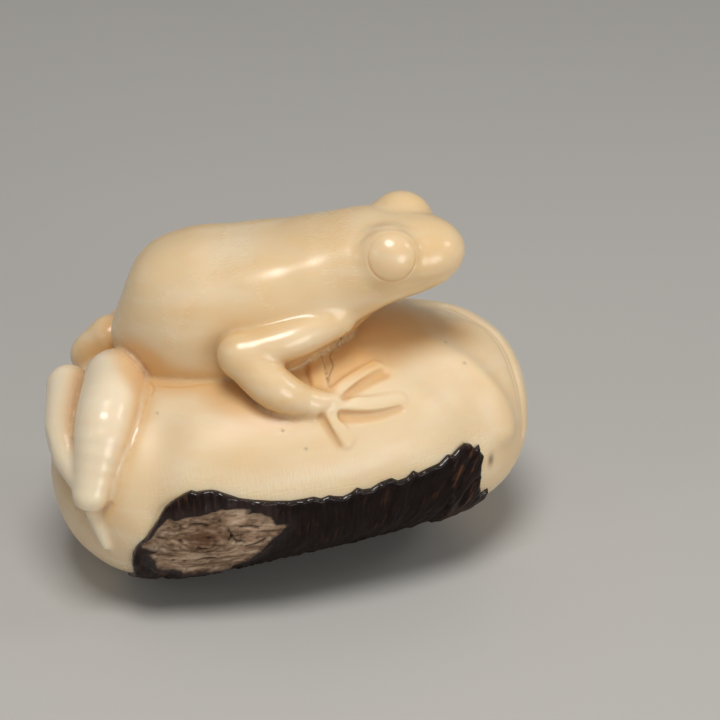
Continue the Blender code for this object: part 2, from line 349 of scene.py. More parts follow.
@dataclass(frozen=True)
class Sight:
    """The camera: where it stands, how it is turned, and how the picture's places are found on the carving."""

    aim: tuple[float, float, float] = (0.0, 0.0, 0.015)
    away: float = 0.320
    aim_pixel: tuple[float, float] = (295.0, 440.0)
    pixel_size: float = 1 / 8300
    picture: float = 720.0
    focal_pixels: float = 2656.0
    sensor: float = 36.0
    azimuth: float = math.radians(-18)
    elevation: float = math.radians(29)
    clear_way: float = 0.260
    march_steps: int = 50

    @cached_property
    def axes(self) -> np.ndarray:
        """Rows: the picture's right, its up, and the way the camera looks."""
        right = np.array([math.cos(self.azimuth), math.sin(self.azimuth), 0.0])
        back = toward(self.azimuth, self.elevation)
        return np.array([right, np.cross(back, right), -back])

    @cached_property
    def place(self) -> np.ndarray:
        """Where the camera stands."""
        right, up, forward = self.axes
        shift = (np.array(self.aim_pixel) - self.picture / 2) * self.pixel_size
        return np.array(self.aim) - self.away * forward - right * shift[0] + up * shift[1]

    def rays(self, pixels: list[tuple[float, float]]) -> np.ndarray:
        """Unit directions from the camera through the picture.

        Args:
            pixels: pairs of x and y in the picture, y down.

        Returns:
            One direction a pixel.
        """
        offset = (np.array(pixels, float) - self.picture / 2) / self.focal_pixels
        right, up, forward = self.axes
        rays = forward + offset[:, :1] * right - offset[:, 1:] * up
        return rays / np.linalg.norm(rays, axis=1, keepdims=True)

    def onto(self, distance: Field, pixels: list[tuple[float, float]]) -> np.ndarray:
        """Places on a form that are seen at pixels of the picture.

        Args:
            distance: the form's distance function.
            pixels: pairs of x and y in the picture, y down.

        Returns:
            Rows of x, y and z on the form.
        """
        rays = self.rays(pixels)
        way = np.full(len(rays), self.clear_way)
        for _ in range(self.march_steps):
            way += np.clip(distance(self.place + rays * way[:, None]), -0.001, 0.02) * 0.8
        return settled(self.place + rays * way[:, None], distance)

    def build(self) -> bpy.types.Object:
        """The camera object, set as the scene's camera.

        Returns:
            The camera.
        """
        data = bpy.data.cameras.new("sight")
        data.sensor_width = self.sensor
        data.lens = self.focal_pixels * self.sensor / self.picture
        camera = placed("sight", data)
        right, up, forward = self.axes
        turn = Matrix(np.column_stack([right, up, -forward])).to_4x4()
        camera.matrix_world = Matrix.Translation(Vector(self.place)) @ turn
        bpy.context.scene.camera = camera
        return camera


@dataclass(frozen=True)
class Nut:
    """The whole nut: its egg shape, its worn lower front, its swellings, crest and grooves."""

    length: float = 0.0585
    width: float = 0.0354
    height: float = 0.0296
    pitch: float = math.radians(4.5)
    power: float = 2.3
    rest_depth: float = 0.00045
    worn_rounding: float = 0.004
    worn_side: tuple[float, float, float] = (0.05, -0.575, -0.817)
    worn_share: float = 0.93
    crest_height: float = 0.0010
    crest_width: float = 1.7 * MM
    crest_from: float = 0.31
    crest_fade: float = 0.18
    valley_depth: float = 0.0008
    valley_width: float = 3.0 * MM
    thigh_valley_width: float = 2.5 * MM
    groove_depth: float = 0.0009
    groove_width: float = 0.7 * MM
    skin_bed: float = 0.00035
    scar_bed: float = 0.00095

    CREST = ((0.48, -0.05, 0.98), (0.52, -0.28, 0.94), (0.59, -0.43, 0.87), (0.65, -0.50, 0.80),
             (0.70, -0.58, 0.70), (0.75, -0.64, 0.58), (0.79, -0.68, 0.39), (0.80, -0.70, 0.26))
    VALLEY = ((0.36, -0.38, 0.93), (0.46, -0.55, 0.82), (0.56, -0.66, 0.64), (0.62, -0.74, 0.42))
    GROOVE = ((0.73, 0.25, 0.80), (0.80, 0.09, 0.77), (0.85, 0.00, 0.72), (0.88, -0.16, 0.64),
              (0.89, -0.37, 0.50), (0.90, -0.47, 0.28), (0.91, -0.49, 0.08))
    THIGH_VALLEY = ((-0.62, -0.52, 0.62), (-0.66, -0.66, 0.38), (-0.67, -0.72, 0.12))

    @cached_property
    def turn(self) -> np.ndarray:
        """The nut's own axes."""
        return turned(0.0, self.pitch)

    @cached_property
    def radii(self) -> np.ndarray:
        """Half the nut's three sizes."""
        return np.array([self.length, self.width, self.height]) / 2

    @cached_property
    def reach(self) -> float:
        """How far the nut reaches straight up from its centre."""
        dual = self.power / (self.power - 1)
        return float((np.abs(self.radii * self.turn[2]) ** dual).sum() ** (1 / dual))

    @cached_property
    def centre(self) -> np.ndarray:
        """The middle of the nut."""
        return np.array([-0.001 * self.length, 0.03 * self.width, self.reach - self.rest_depth])

    @cached_property
    def egg(self) -> Lobe:
        """The nut's plain form."""
        return Lobe("nut", self.centre, self.radii, self.turn, self.power, 0.0)

    @cached_property
    def swellings(self) -> tuple[Lobe, Lobe]:
        """Where the nut is fuller: under the far hind leg and at its upper right end."""
        haunch = Lobe("haunch_bed", self.centre + self.radii * np.array([-0.56, 0.48, 0.17]),
                      self.radii * np.array([0.34, 0.54, 0.54]), self.turn, 2.0, 0.003)
        end = Lobe("end_swell", self.centre + self.radii * np.array([0.64, 0.10, 0.32]),
                   self.radii * np.array([0.34, 0.66, 0.50]), self.turn, 2.0, 0.002)
        return haunch, end

    def bare(self, points: np.ndarray) -> np.ndarray:
        """How far points are outside the nut without skin, crest and grooves.

        Args:
            points: rows of x, y and z.

        Returns:
            One distance a point.
        """
        worn = (points - self.centre) @ np.array(self.worn_side) - self.worn_share * self.height / 2
        egg = -blended(-self.egg.distance(points), -worn, self.worn_rounding)
        for swelling in self.swellings:
            egg = blended(egg, swelling.distance(points), swelling.join)
        return egg

    def surface_line(self, shares: tuple) -> np.ndarray:
        """A fine line on the nut through places given as shares of its radii."""
        places = settled(self.centre + self.radii * np.array(shares), self.bare)
        return smooth_line(with_zeros(places))

    @cached_property
    def lines(self) -> list[tuple[np.ndarray, float, float]]:
        """The crest, then each groove: its line, how far it goes in, and its width."""
        return [(self.surface_line(self.CREST), -self.crest_height, self.crest_width),
                (self.surface_line(self.VALLEY), self.valley_depth, self.valley_width),
                (self.surface_line(self.THIGH_VALLEY), self.valley_depth, self.thigh_valley_width),
                (self.surface_line(self.GROOVE), self.groove_depth, self.groove_width)]

    def roll(self, points: np.ndarray) -> np.ndarray:
        """Degrees around the nut's long axis: 0 at the front, 90 on top and -90 below."""
        return np.degrees(np.arctan2(points[:, 2] - self.centre[2], self.centre[1] - points[:, 1]))

    def at(self, x: np.ndarray, roll: np.ndarray) -> np.ndarray:
        """Places on the bare nut.

        Args:
            x: places along the world's x axis, in metres.
            roll: degrees around the nut.

        Returns:
            Rows of x, y and z.
        """
        angle = np.radians(roll)
        spoke = np.column_stack([np.zeros(len(x)), -np.cos(angle), np.sin(angle)])
        axis = np.column_stack([x, np.full(len(x), self.centre[1]), np.full(len(x), self.centre[2])])
        near = np.zeros(len(x))
        far = np.full(len(x), self.width)
        for _ in range(26):
            middle = (near + far) / 2
            outside = self.bare(axis + spoke * middle[:, None]) > 0
            far = np.where(outside, middle, far)
            near = np.where(outside, near, middle)
        return axis + spoke * near[:, None]

    def distance(self, points: np.ndarray) -> np.ndarray:
        """How far points are outside the bare ivory of the nut.

        Args:
            points: rows of x, y and z.

        Returns:
            One distance a point.
        """
        nut = self.bare(points)
        crest = soft_step(points[:, 0] / self.length, self.crest_from, self.crest_fade)
        for number, (line, depth, width) in enumerate(self.lines):
            cut = depth * np.exp(-(line_distance(points, line) / width) ** 2)
            nut += cut * crest if number == 0 else cut
        return nut


@dataclass(frozen=True)
class Frog:
    """The frog, laid out on a grid of steps from rump to snout, and the hands and legs that it rests on."""

    nut: Nut
    length: float = 0.042
    grid_steps: int = 42
    turn: float = math.radians(-22)
    head_turn: float = math.radians(-6)
    lean: float = math.radians(15)
    toe_radius: float = 0.00088
    strap_height: float = 0.00062
    left_hand_back: float = 2.0
    toe_fade: float = 0.62
    throat_depth: float = 0.0009
    throat_width: float = 0.0026
    trunk_power: float = 2.4
    trunk_join: float = 3.0
    nut_join: float = 0.6
    toe_join: float = 0.45
    knee_forward: float = 0.5

    TRUNK_FACTORS = (1.12, 1.09, 0.95)
    TRUNK = (("rump", -7.5, -0.6, 5.6), ("pelvis", -4.2, 6.1, 6.2), ("belly", -2.9, 2.2, 8.2),
             ("flank", 1.3, 2.7, 9.3), ("chest", 7.4, 5.6, 8.1), ("neck", 13.9, 8.6, 6.2))
    HEAD = (("skull", (18.0, 0.2, 10.5), (7.2, 6.5, 4.9), 3.0),
            ("snout", (23.0, -0.4, 11.6), (4.8, 4.7, 3.8), 2.5),
            ("eye.right", (19.2, -4.1, 12.3), (3.9, 3.5, 3.8), 0.9),
            ("eye.left", (20.1, 4.1, 12.7), (3.9, 3.5, 3.9), 0.9))
    TOES = (((12.0, 11.0, -2.2), (11.2, 8.6, -0.9), (10.9, 6.3, -0.2)),
            ((13.2, 11.0, -2.5), (15.2, 8.6, -1.5), (17.9, 5.8, -0.9)),
            ((13.3, 11.6, -3.1), (17.0, 10.7, -3.5), (20.7, 9.0, -3.7)),
            ((12.6, 12.2, -3.3), (13.7, 13.3, -4.7), (15.0, 14.2, -6.3)))
    TOE_LIFTS = (0.30, 0.30, -0.25)
    PALM = ((11.2, 12.1), (13.0, 11.5))
    THROAT = ((19.0, -3.4, 4.6), (17.0, -3.9, 3.4), (15.3, -4.6, 2.4), (13.8, -5.2, 1.5), (12.2, -6.0, 0.9))
    RIGHT_SHANK = ((-17.7, -13.6, -8.3, 1.6, 2.2), (-18.7, -5.8, -5.0, 2.1, 2.6))
    LEFT_SHANK = ((-16.2, 9.3, -6.0, 0.5, 2.2), (-18.3, 4.4, -5.2, 0.2, 2.5), (-14.6, 3.6, -4.2, 1.0, 2.9))

    @property
    def step(self) -> float:
        """One step of the frog's grid."""
        return self.length / self.grid_steps

    @cached_property
    def seat(self) -> np.ndarray:
        """Where the grid's origin sits on the nut."""
        nut = self.nut
        return np.array([-0.115 * nut.length, 0.12 * nut.width,
                         2 * nut.reach - 0.02 * nut.height - nut.rest_depth])

    @cached_property
    def face_axes(self) -> np.ndarray:
        """The head's own axes."""
        return turned(self.turn + self.head_turn)

    def place(self, x: float, y: float, z: float) -> np.ndarray:
        """The world place of a point on the frog's grid: x forward, y to its left, z up."""
        return self.seat + turned(self.turn) @ (np.array([x, y, z]) * self.step)

    def rest(self, x: float, y: float, z: float, lift: float = 0.0) -> np.ndarray:
        """The place of a point of the frog's grid on the nut, lifted by a share of a step."""
        return settled(self.place(x, y, z)[None], self.nut.distance, lift * self.step)[0]

    def limb(self, name: str, places: tuple, radii: tuple, join: float) -> Limb:
        """A limb through places, with radii and a join in steps."""
        stations = np.column_stack([np.array(places), np.array(radii) * self.step])
        return Limb(name, stations, join * self.step)

    @cached_property
    def body(self) -> list[Lobe]:
        """The trunk, head and eye domes, from the rump forward."""
        lean = turned(self.turn, self.lean)
        factors = np.array(self.TRUNK_FACTORS)
        lobes = [Lobe(name, self.place(x, 0, z), factors * radius * self.step, lean, self.trunk_power,
                      self.trunk_join * self.step)
                 for name, x, z, radius in self.TRUNK]
        for name, place, radii, join in self.HEAD:
            size = np.array(radii) * self.step
            lobes.append(Lobe(name, self.place(*place), size, self.face_axes, 2.0, join * self.step))
        return lobes

    def back(self, side: Side) -> float:
        """How many steps a hand is set back."""
        return self.left_hand_back if side is Side.LEFT else 0.0

    def arm(self, side: Side) -> list[Limb]:
        """The upper arm back to the elbow, and the forearm forward to the wrist on the nut.

        Args:
            side: which of the two arms.

        Returns:
            The arm's limbs.
        """
        y = side.value
        shoulder = self.place(13.1, y * 6.1, 5.2)
        upper = self.place(8.4, y * 9.7, 4.2)
        elbow = self.place(2.6, y * 11.3, 2.9)
        fore = self.place(6.9 - self.back(side) / 2, y * 13.0, -0.5)
        wrist = self.rest(10.9 - self.back(side), y * 12.2, -2.6, 0.1)
        return [self.limb(f"upper_arm.{side.word}", (shoulder, upper, elbow), (2.2, 2.3, 2.5), 0.8),
                self.limb(f"forearm.{side.word}", (elbow, fore, wrist), (2.5, 2.5, 1.6), 0.8)]

    def leg(self, side: Side, shank: tuple) -> list[Limb]:
        """A folded hind leg: thick thigh, thinner shank beside it, and the low foot.

        Args:
            side: which of the two legs.
            shank: rows of x, y, z, lift and radius in steps, from above the knee to the ankle or past it.

        Returns:
            The leg's limbs.
        """
        y = side.value
        hip = self.rest(-12.4, y * 6.6, -4.2, 0.6)
        forward = self.knee_forward if side is Side.RIGHT else 0.0
        thigh = self.rest(-13.1 + forward, y * 13.7, -6.2, 1.0)
        knee = self.rest(-14.1 + forward, y * 18.1, -12.1, 0.8)
        places = (knee,) + tuple(self.rest(*station[:4]) for station in shank)
        radii = (1.6,) + tuple(station[4] for station in shank)
        foot = (self.rest(-14.3, y * 19.0, -14.5, 0.1), self.rest(-13.2, y * 20.3, -19.0))
        return [self.limb(f"thigh.{side.word}", (hip, thigh, knee), (3.8, 3.5, 2.2), 0.4),
                self.limb(f"shank.{side.word}", places, radii, 0.4),
                self.limb(f"foot.{side.word}", foot, (0.8, 0.6), 1.0)]

    @cached_property
    def limbs(self) -> list[Limb]:
        """Arms and legs of both sides."""
        return (self.arm(Side.RIGHT) + self.leg(Side.RIGHT, self.RIGHT_SHANK)
                + self.arm(Side.LEFT) + self.leg(Side.LEFT, self.LEFT_SHANK))

    @cached_property
    def hands(self) -> list[Limb]:
        """The palms and the spread toes of both hands."""
        forms = []
        radius = self.toe_radius / self.step
        for side in Side:
            y, back = side.value, self.back(side)
            palm = tuple(self.rest(x - back, y * out, -2.8) for x, out in self.PALM)
            forms.append(self.limb(f"palm.{side.word}", palm, (1.6, 1.2), 1.0))
            for number, toe in enumerate(self.TOES, 1):
                places = tuple(self.rest(x - back, y * out, z, lift * radius)
                               for (x, out, z), lift in zip(toe, self.TOE_LIFTS))
                forms.append(self.limb(f"toe_{number}.{side.word}", places, (radius,) * 3, self.toe_join))
        return forms

    @cached_property
    def throat(self) -> np.ndarray:
        """The fine line along which the throat and the chest are hollowed above the nut."""
        return smooth_line(with_zeros(np.array([self.place(*place) for place in self.THROAT])))

    def strap(self, toe: Limb, points: np.ndarray) -> np.ndarray:
        """How high a toe may stand off the nut, less and less towards its tip.

        Args:
            toe: the toe.
            points: rows of x, y and z.

        Returns:
            One height a point.
        """
        base, tip = toe.line[0, :3], toe.line[-1, :3]
        share = np.clip((points - base) @ (tip - base) / ((tip - base) @ (tip - base)), 0, 1)
        return self.strap_height * (1 - self.toe_fade * share ** 2)

    def distance(self, points: np.ndarray) -> np.ndarray:
        """How far points are outside the frog and the nut together, without the carver's small cuts.

        Args:
            points: rows of x, y and z.

        Returns:
            One distance a point.
        """
        distance = self.body[0].distance(points)
        for form in self.body[1:]:
            distance = blended(distance, form.distance(points), form.join)
        throat = line_distance(points, self.throat) / self.throat_width
        distance += self.throat_depth * np.exp(-throat ** 2)
        for form in self.limbs:
            distance = blended(distance, form.distance(points), form.join)
        nut = self.nut.distance(points)
        distance = blended(distance, nut, self.nut_join * self.step)
        for form in self.hands:
            toe = form.distance(points)
            if form.name.startswith("toe"):
                toe = -blended(-toe, self.strap(form, points) - nut, self.toe_join * self.step)
            distance = blended(distance, toe, form.join)
        return distance


class Cut(Enum):
    """How a carved line is coloured: left clean, ochre, dust or dark brown; ochre in an undercut or under the
    chin is painted shade.
    """

    CLEAN = 0
    OCHRE = 1
    DUSTY = 2
    DARK = 3


@dataclass(frozen=True)
class CarvedLine:
    """A line cut into the ivory, raised from it, or only painted on it, along places in the picture.

    The body is how wide the line's full depth is at its start and at its end.
    """

    pixels: tuple[tuple[float, float], ...]
    depth: float
    width: float
    # The line's colour; ochre in an undercut or under the chin is painted shade.
    fill: Cut = Cut.CLEAN
    body: tuple[float, float] = (0.0, 0.0)

    def stations(self, places: np.ndarray) -> np.ndarray:
        """The fine line through places on the carving."""
        return smooth_line(np.column_stack([places, np.linspace(*self.body, len(places)) / 2]))

    def share(self, points: np.ndarray, stations: np.ndarray, spread: float = 1.0) -> np.ndarray:
        """How much points are in the line.

        Args:
            points: rows of x, y and z.
            stations: the fine line.
            spread: how many times its width the line reaches.

        Returns:
            Shares from 1 in the line to 0 away from it.
        """
        gap = np.maximum(line_distance(points, stations), 0)
        return np.exp(-(gap / (self.width * spread)) ** 2)


CARVED_LINES = (
    CarvedLine(((360, 242), (366, 235), (376, 230), (391, 228), (407, 231), (417, 239), (421, 249),
                (420, 262)), 0.11 * MM, 0.55 * MM),
    CarvedLine(((346, 333), (341, 338), (338, 344), (333, 349)), 0.40 * MM, 0.13 * MM, Cut.DARK),
    CarvedLine(((333, 349), (330, 357), (333, 365), (330, 374), (328, 383)), 0.14 * MM, 0.08 * MM,
               Cut.DUSTY),
    CarvedLine(((321, 356), (325, 368), (328, 383)), 0.16 * MM, 0.09 * MM, Cut.DUSTY),
    # A thin ochre line along the second toe.
    CarvedLine(((329, 384), (345, 376), (360, 367), (370, 361)), 0.10 * MM, 0.09 * MM, Cut.OCHRE),
    # Ochre lines along the crease where the body meets the nut.
    CarvedLine(((149, 382), (154, 388), (151, 396)), 0.12 * MM, 0.12 * MM, Cut.OCHRE),
    CarvedLine(((158, 386), (180, 387), (205, 384), (226, 378)), 0.08 * MM, 0.10 * MM, Cut.OCHRE),
    # Cuts under and beside three toes, with ochre painted shade in them.
    CarvedLine(((345, 397), (357, 388), (370, 380), (383, 373)), 0.36 * MM, 0.42 * MM, Cut.OCHRE,
               body=(0.15 * MM, 0.75 * MM)),
    CarvedLine(((342, 417), (358, 417.5), (378, 415.5), (400, 409)), 0.32 * MM, 0.42 * MM, Cut.OCHRE,
               body=(0.6 * MM, 0.0)),
    CarvedLine(((321, 417), (328, 429), (339, 446)), 0.26 * MM, 0.34 * MM, Cut.OCHRE, body=(0.35 * MM, 0.0)),
    CarvedLine(((172, 336), (176, 318), (188, 302), (215, 289), (245, 278), (290, 266), (325, 257),
                (350, 251)), -0.20 * MM, 2.6 * MM),
    CarvedLine(((424, 305), (438, 306), (452, 312)), 0.45 * MM, 1.6 * MM),
    # A wide ochre band under the chin, not cut in: painted shade with the glow of light through the ivory.
    CarvedLine(((375, 324), (398, 320), (428, 322), (452, 330)), 0.0, 2.8 * MM, Cut.OCHRE),
    CarvedLine(((75, 507), (86, 512), (100, 511), (110, 505)), 0.25 * MM, 0.35 * MM),
)
PITS = ((283, 431), (306, 449), (157, 413), (446, 342), (465, 363))
STAIN = (491, 460)


@dataclass(frozen=True)
class EyeRing:
    """The round line cut into each eye dome."""

    pixel: tuple[float, float] = (393.0, 257.0)
    radius: float = 2.75 * MM
    depth: float = 0.10 * MM
    width: float = 0.13 * MM
    upper_share: float = 0.35
    dome: float = 0.05 * MM
    far_drop: float = 0.40
    # How strongly the ring is tinted ochre.
    ring_tint: float = 0.45

    def relief(self, points: np.ndarray, middle: np.ndarray,
               out: np.ndarray) -> tuple[np.ndarray, np.ndarray]:
        """The ring's relief on one eye.

        Args:
            points: rows of x, y and z.
            middle: the eye dome's middle.
            out: the direction from there to the ring's centre.

        Returns:
            How far each point is cut in, and how much it lies in the ring, from 0 to 1.
        """
        along, away = from_axis(points, middle, out)
        front = soft_step(along, 0.6 * MM, 0.8 * MM)
        low = soft_step(middle[2] - points[:, 2], -0.6 * MM, 2.4 * MM)
        ring = np.exp(-((away - self.radius) / self.width) ** 2) * front
        ring *= self.upper_share + (1 - self.upper_share) * low
        disc = np.maximum(1 - (away / self.radius) ** 2, 0) * front
        return self.depth * ring - self.dome * disc, ring


@dataclass(frozen=True)
class IvoryFinish:
    """Polished vegetable ivory: warm cream and a little see-through, with ochre and rose painted shade in its
    hollows, creases and undercuts, and dark brown in its cracks, pits and a stain.
    """

    cream: tuple = (0.80, 0.610, 0.370, 1.0)
    honey: tuple = (0.77, 0.545, 0.285, 1.0)
    pale: tuple = (0.87, 0.790, 0.630, 1.0)
    # ochre and rose colour the painted shade in the hollows, creases and undercuts; ochre also tints the
    # crease lines and the eye rings.
    ochre: tuple = (0.68, 0.375, 0.120, 1.0)
    rose: tuple = (0.52, 0.300, 0.165, 1.0)
    umber: tuple = (0.060, 0.024, 0.013, 1.0)
    scatter: tuple = (1.0, 0.62, 0.32)
    scatter_depth: float = 0.0018

    def material(self) -> bpy.types.Material:
        """The ivory's material, which reads the marks of the mesh.

        Returns:
            The material.
        """
        recipe = Recipe("ivory")
        place = recipe.place()
        cloud = recipe.noise(place, 70.0, 3, 0.5)
        vein = recipe.noise(recipe.stretched(place, (60.0, 160.0, 420.0), (0.0, 0.3, 0.4)), 1.0, 3, 0.5)
        mottle = recipe.noise(place, 620.0, 4, 0.6)
        nut, filed, crevice = recipe.mark("nut"), recipe.mark("filed"), recipe.mark("crevice")
        colour = recipe.mixed(recipe.ramp(cloud, 0.36, 0.68), self.cream, self.honey)
        colour = recipe.mixed(recipe.times(recipe.ramp(vein, 0.42, 0.72), 0.30), colour, self.pale)
        colour = recipe.mixed(recipe.times(nut, 0.16), colour, self.pale)
        colour = recipe.mixed(recipe.times(recipe.mark("pale"), 0.70), colour, self.pale)
        # Painted shade: wide hollows, most of all under the chin, turn ochre, the colour of shade with light
        # glowing through the ivory.
        colour = recipe.mixed(recipe.times(recipe.mark("hollow"), 0.62), colour, self.ochre)
        # Painted shade: creases turn rose, blotched by the mottle.
        mottled_crease_shade = recipe.times(crevice, recipe.ramp(mottle, 0.25, 0.75, 0.35, 0.85))
        colour = recipe.mixed(mottled_crease_shade, colour, self.rose)
        # Ochre of the carved lines and eye rings: painted shade in the undercuts and under the chin, and a
        # tint along the crease, the second toe and the rings.
        colour = recipe.mixed(recipe.times(recipe.mark("ochre"), 0.62), colour, self.ochre)
        colour = recipe.mixed(recipe.mark("umber"), colour, self.umber)
        filed_way = recipe.stretched(place, (4200.0, 500.0, 900.0), (0.2, 0.55, 0.25))
        file_cuts = recipe.noise(filed_way, 1.0, 2, 0.5)
        polished_way = recipe.stretched(place, (260.0, 4200.0, 4200.0), (0.0, 0.5, 0.9))
        scratch = recipe.noise(polished_way, 1.0, 2, 0.5)
        fine = recipe.noise(place, 1500.0, 3, 0.6)
        relief = recipe.summed([(scratch, 0.05), (fine, 0.05), (recipe.times(fine, nut), 0.25),
                                (recipe.times(file_cuts, filed), 3.0)])
        bump = recipe.bump(relief, 0.20, 0.00006)
        rough = recipe.ramp(recipe.summed([(cloud, 0.6), (scratch, 0.4)]), 0.2, 0.9, 0.19, 0.29)
        rough = recipe.summed([(rough, 1.0), (crevice, 0.25), (recipe.mark("umber"), 0.3), (nut, 0.20),
                               (filed, -0.16)])
        recipe.shader(colour, rough, bump, {"Subsurface Weight": 0.60, "Subsurface Radius": self.scatter,
                                            "Subsurface Scale": self.scatter_depth, "IOR": 1.54,
                                            "Specular IOR Level": 0.5})
        return recipe.material


@dataclass(frozen=True)
class SkinFinish:
    """The nut's dark fibrous skin, and the dry grey-tan scar with its rings."""

    dark: tuple = (0.0085, 0.0042, 0.0036, 1.0)
    brown: tuple = (0.034, 0.0165, 0.0105, 1.0)
    rust: tuple = (0.085, 0.034, 0.0145, 1.0)
    wine: tuple = (0.024, 0.0120, 0.0100, 1.0)
    tan: tuple = (0.330, 0.215, 0.140, 1.0)
    straw: tuple = (0.560, 0.420, 0.300, 1.0)
    ash: tuple = (0.085, 0.052, 0.034, 1.0)
    olive: tuple = (0.095, 0.056, 0.028, 1.0)
    russet: tuple = (0.130, 0.058, 0.030, 1.0)

    def material(self) -> bpy.types.Material:
        """The skin's material, which reads the grain and the marks of the mesh.

        Returns:
            The material.
        """
        recipe = Recipe("nut_skin")
        grain = recipe.vector_mark("grain")
        place = recipe.place()
        fibre = recipe.noise(recipe.stretched(grain, (300.0, 2400.0, 1.0), (0.0, 0.0, 0.0)), 1.0, 6, 0.65)
        patch = recipe.noise(place, 420.0, 4, 0.6)
        speck = recipe.noise(place, 2200.0, 3, 0.6)
        under = recipe.mark("under")
        skin = recipe.mixed(recipe.ramp(fibre, 0.46, 0.66), self.dark, self.brown)
        rusty = recipe.times(recipe.ramp(patch, 0.50, 0.66), recipe.ramp(fibre, 0.44, 0.60))
        skin = recipe.mixed(rusty, skin, self.rust)
        skin = recipe.mixed(recipe.times(recipe.mark("lip"), 0.75), skin, self.wine)
        skin = recipe.mixed(recipe.times(recipe.mark("rim"), 0.60), skin, self.wine)
        # Painted shade: the broken underside below the lower ridge is darkened nearly to black, less on some
        # fibres.
        skin = recipe.mixed(recipe.times(under, recipe.ramp(fibre, 0.40, 0.70, 0.95, 0.45)), skin, self.dark)
        skin = recipe.mixed(recipe.mark("split"), skin, self.dark)
        scar = self.scar_colour(recipe, place, speck)
        colour = recipe.mixed(recipe.mark("scar"), skin, scar)
        relief = recipe.summed([(fibre, 0.7), (speck, 0.4)])
        bump = recipe.bump(relief, 0.50, 0.00012)
        rough = recipe.ramp(recipe.summed([(patch, 0.5), (speck, 0.5)]), 0.3, 0.7, 0.36, 0.58)
        rough = recipe.summed([(rough, 1.0), (recipe.mark("scar"), 0.35), (recipe.mark("rim"), -0.28),
                               (recipe.mark("lip"), -0.10), (under, 0.20)])
        varnish = recipe.summed([(recipe.mark("rim"), 0.80), (recipe.mark("lip"), 0.20)])
        recipe.shader(colour, rough, bump, {"IOR": 1.45, "Specular IOR Level": 0.13, "Coat Weight": varnish,
                                            "Coat Roughness": 0.16, "Coat IOR": 1.6})
        return recipe.material

    def scar_colour(self, recipe: "Recipe", place: Socket, speck: Socket) -> Socket:
        """The dry scar's colour.

        Args:
            recipe: the material's nodes.
            place: the place on the carving.
            speck: fine random clouds.

        Returns:
            The colour's socket.
        """
        hair = recipe.noise(recipe.stretched(place, (240.0, 460.0, 950.0), (0.0, 0.12, 0.0)), 1.0, 5, 0.66)
        stain = recipe.noise(place, 330.0, 4, 0.6)
        scar = recipe.mixed(recipe.ramp(hair, 0.30, 0.50), self.ash, self.tan)
        scar = recipe.mixed(recipe.times(recipe.ramp(hair, 0.44, 0.62), 0.9), scar, self.straw)
        scar = recipe.mixed(recipe.times(recipe.ramp(stain, 0.48, 0.68), 0.50), scar, self.olive)
        scar = recipe.mixed(recipe.times(recipe.mark("ring"), recipe.ramp(speck, 0.3, 0.7, 0.35, 0.85)),
                            scar, self.olive)
        scar = recipe.mixed(recipe.times(recipe.mark("boss"), 0.85), scar, self.russet)
        return recipe.mixed(recipe.mark("pit"), scar, self.dark)


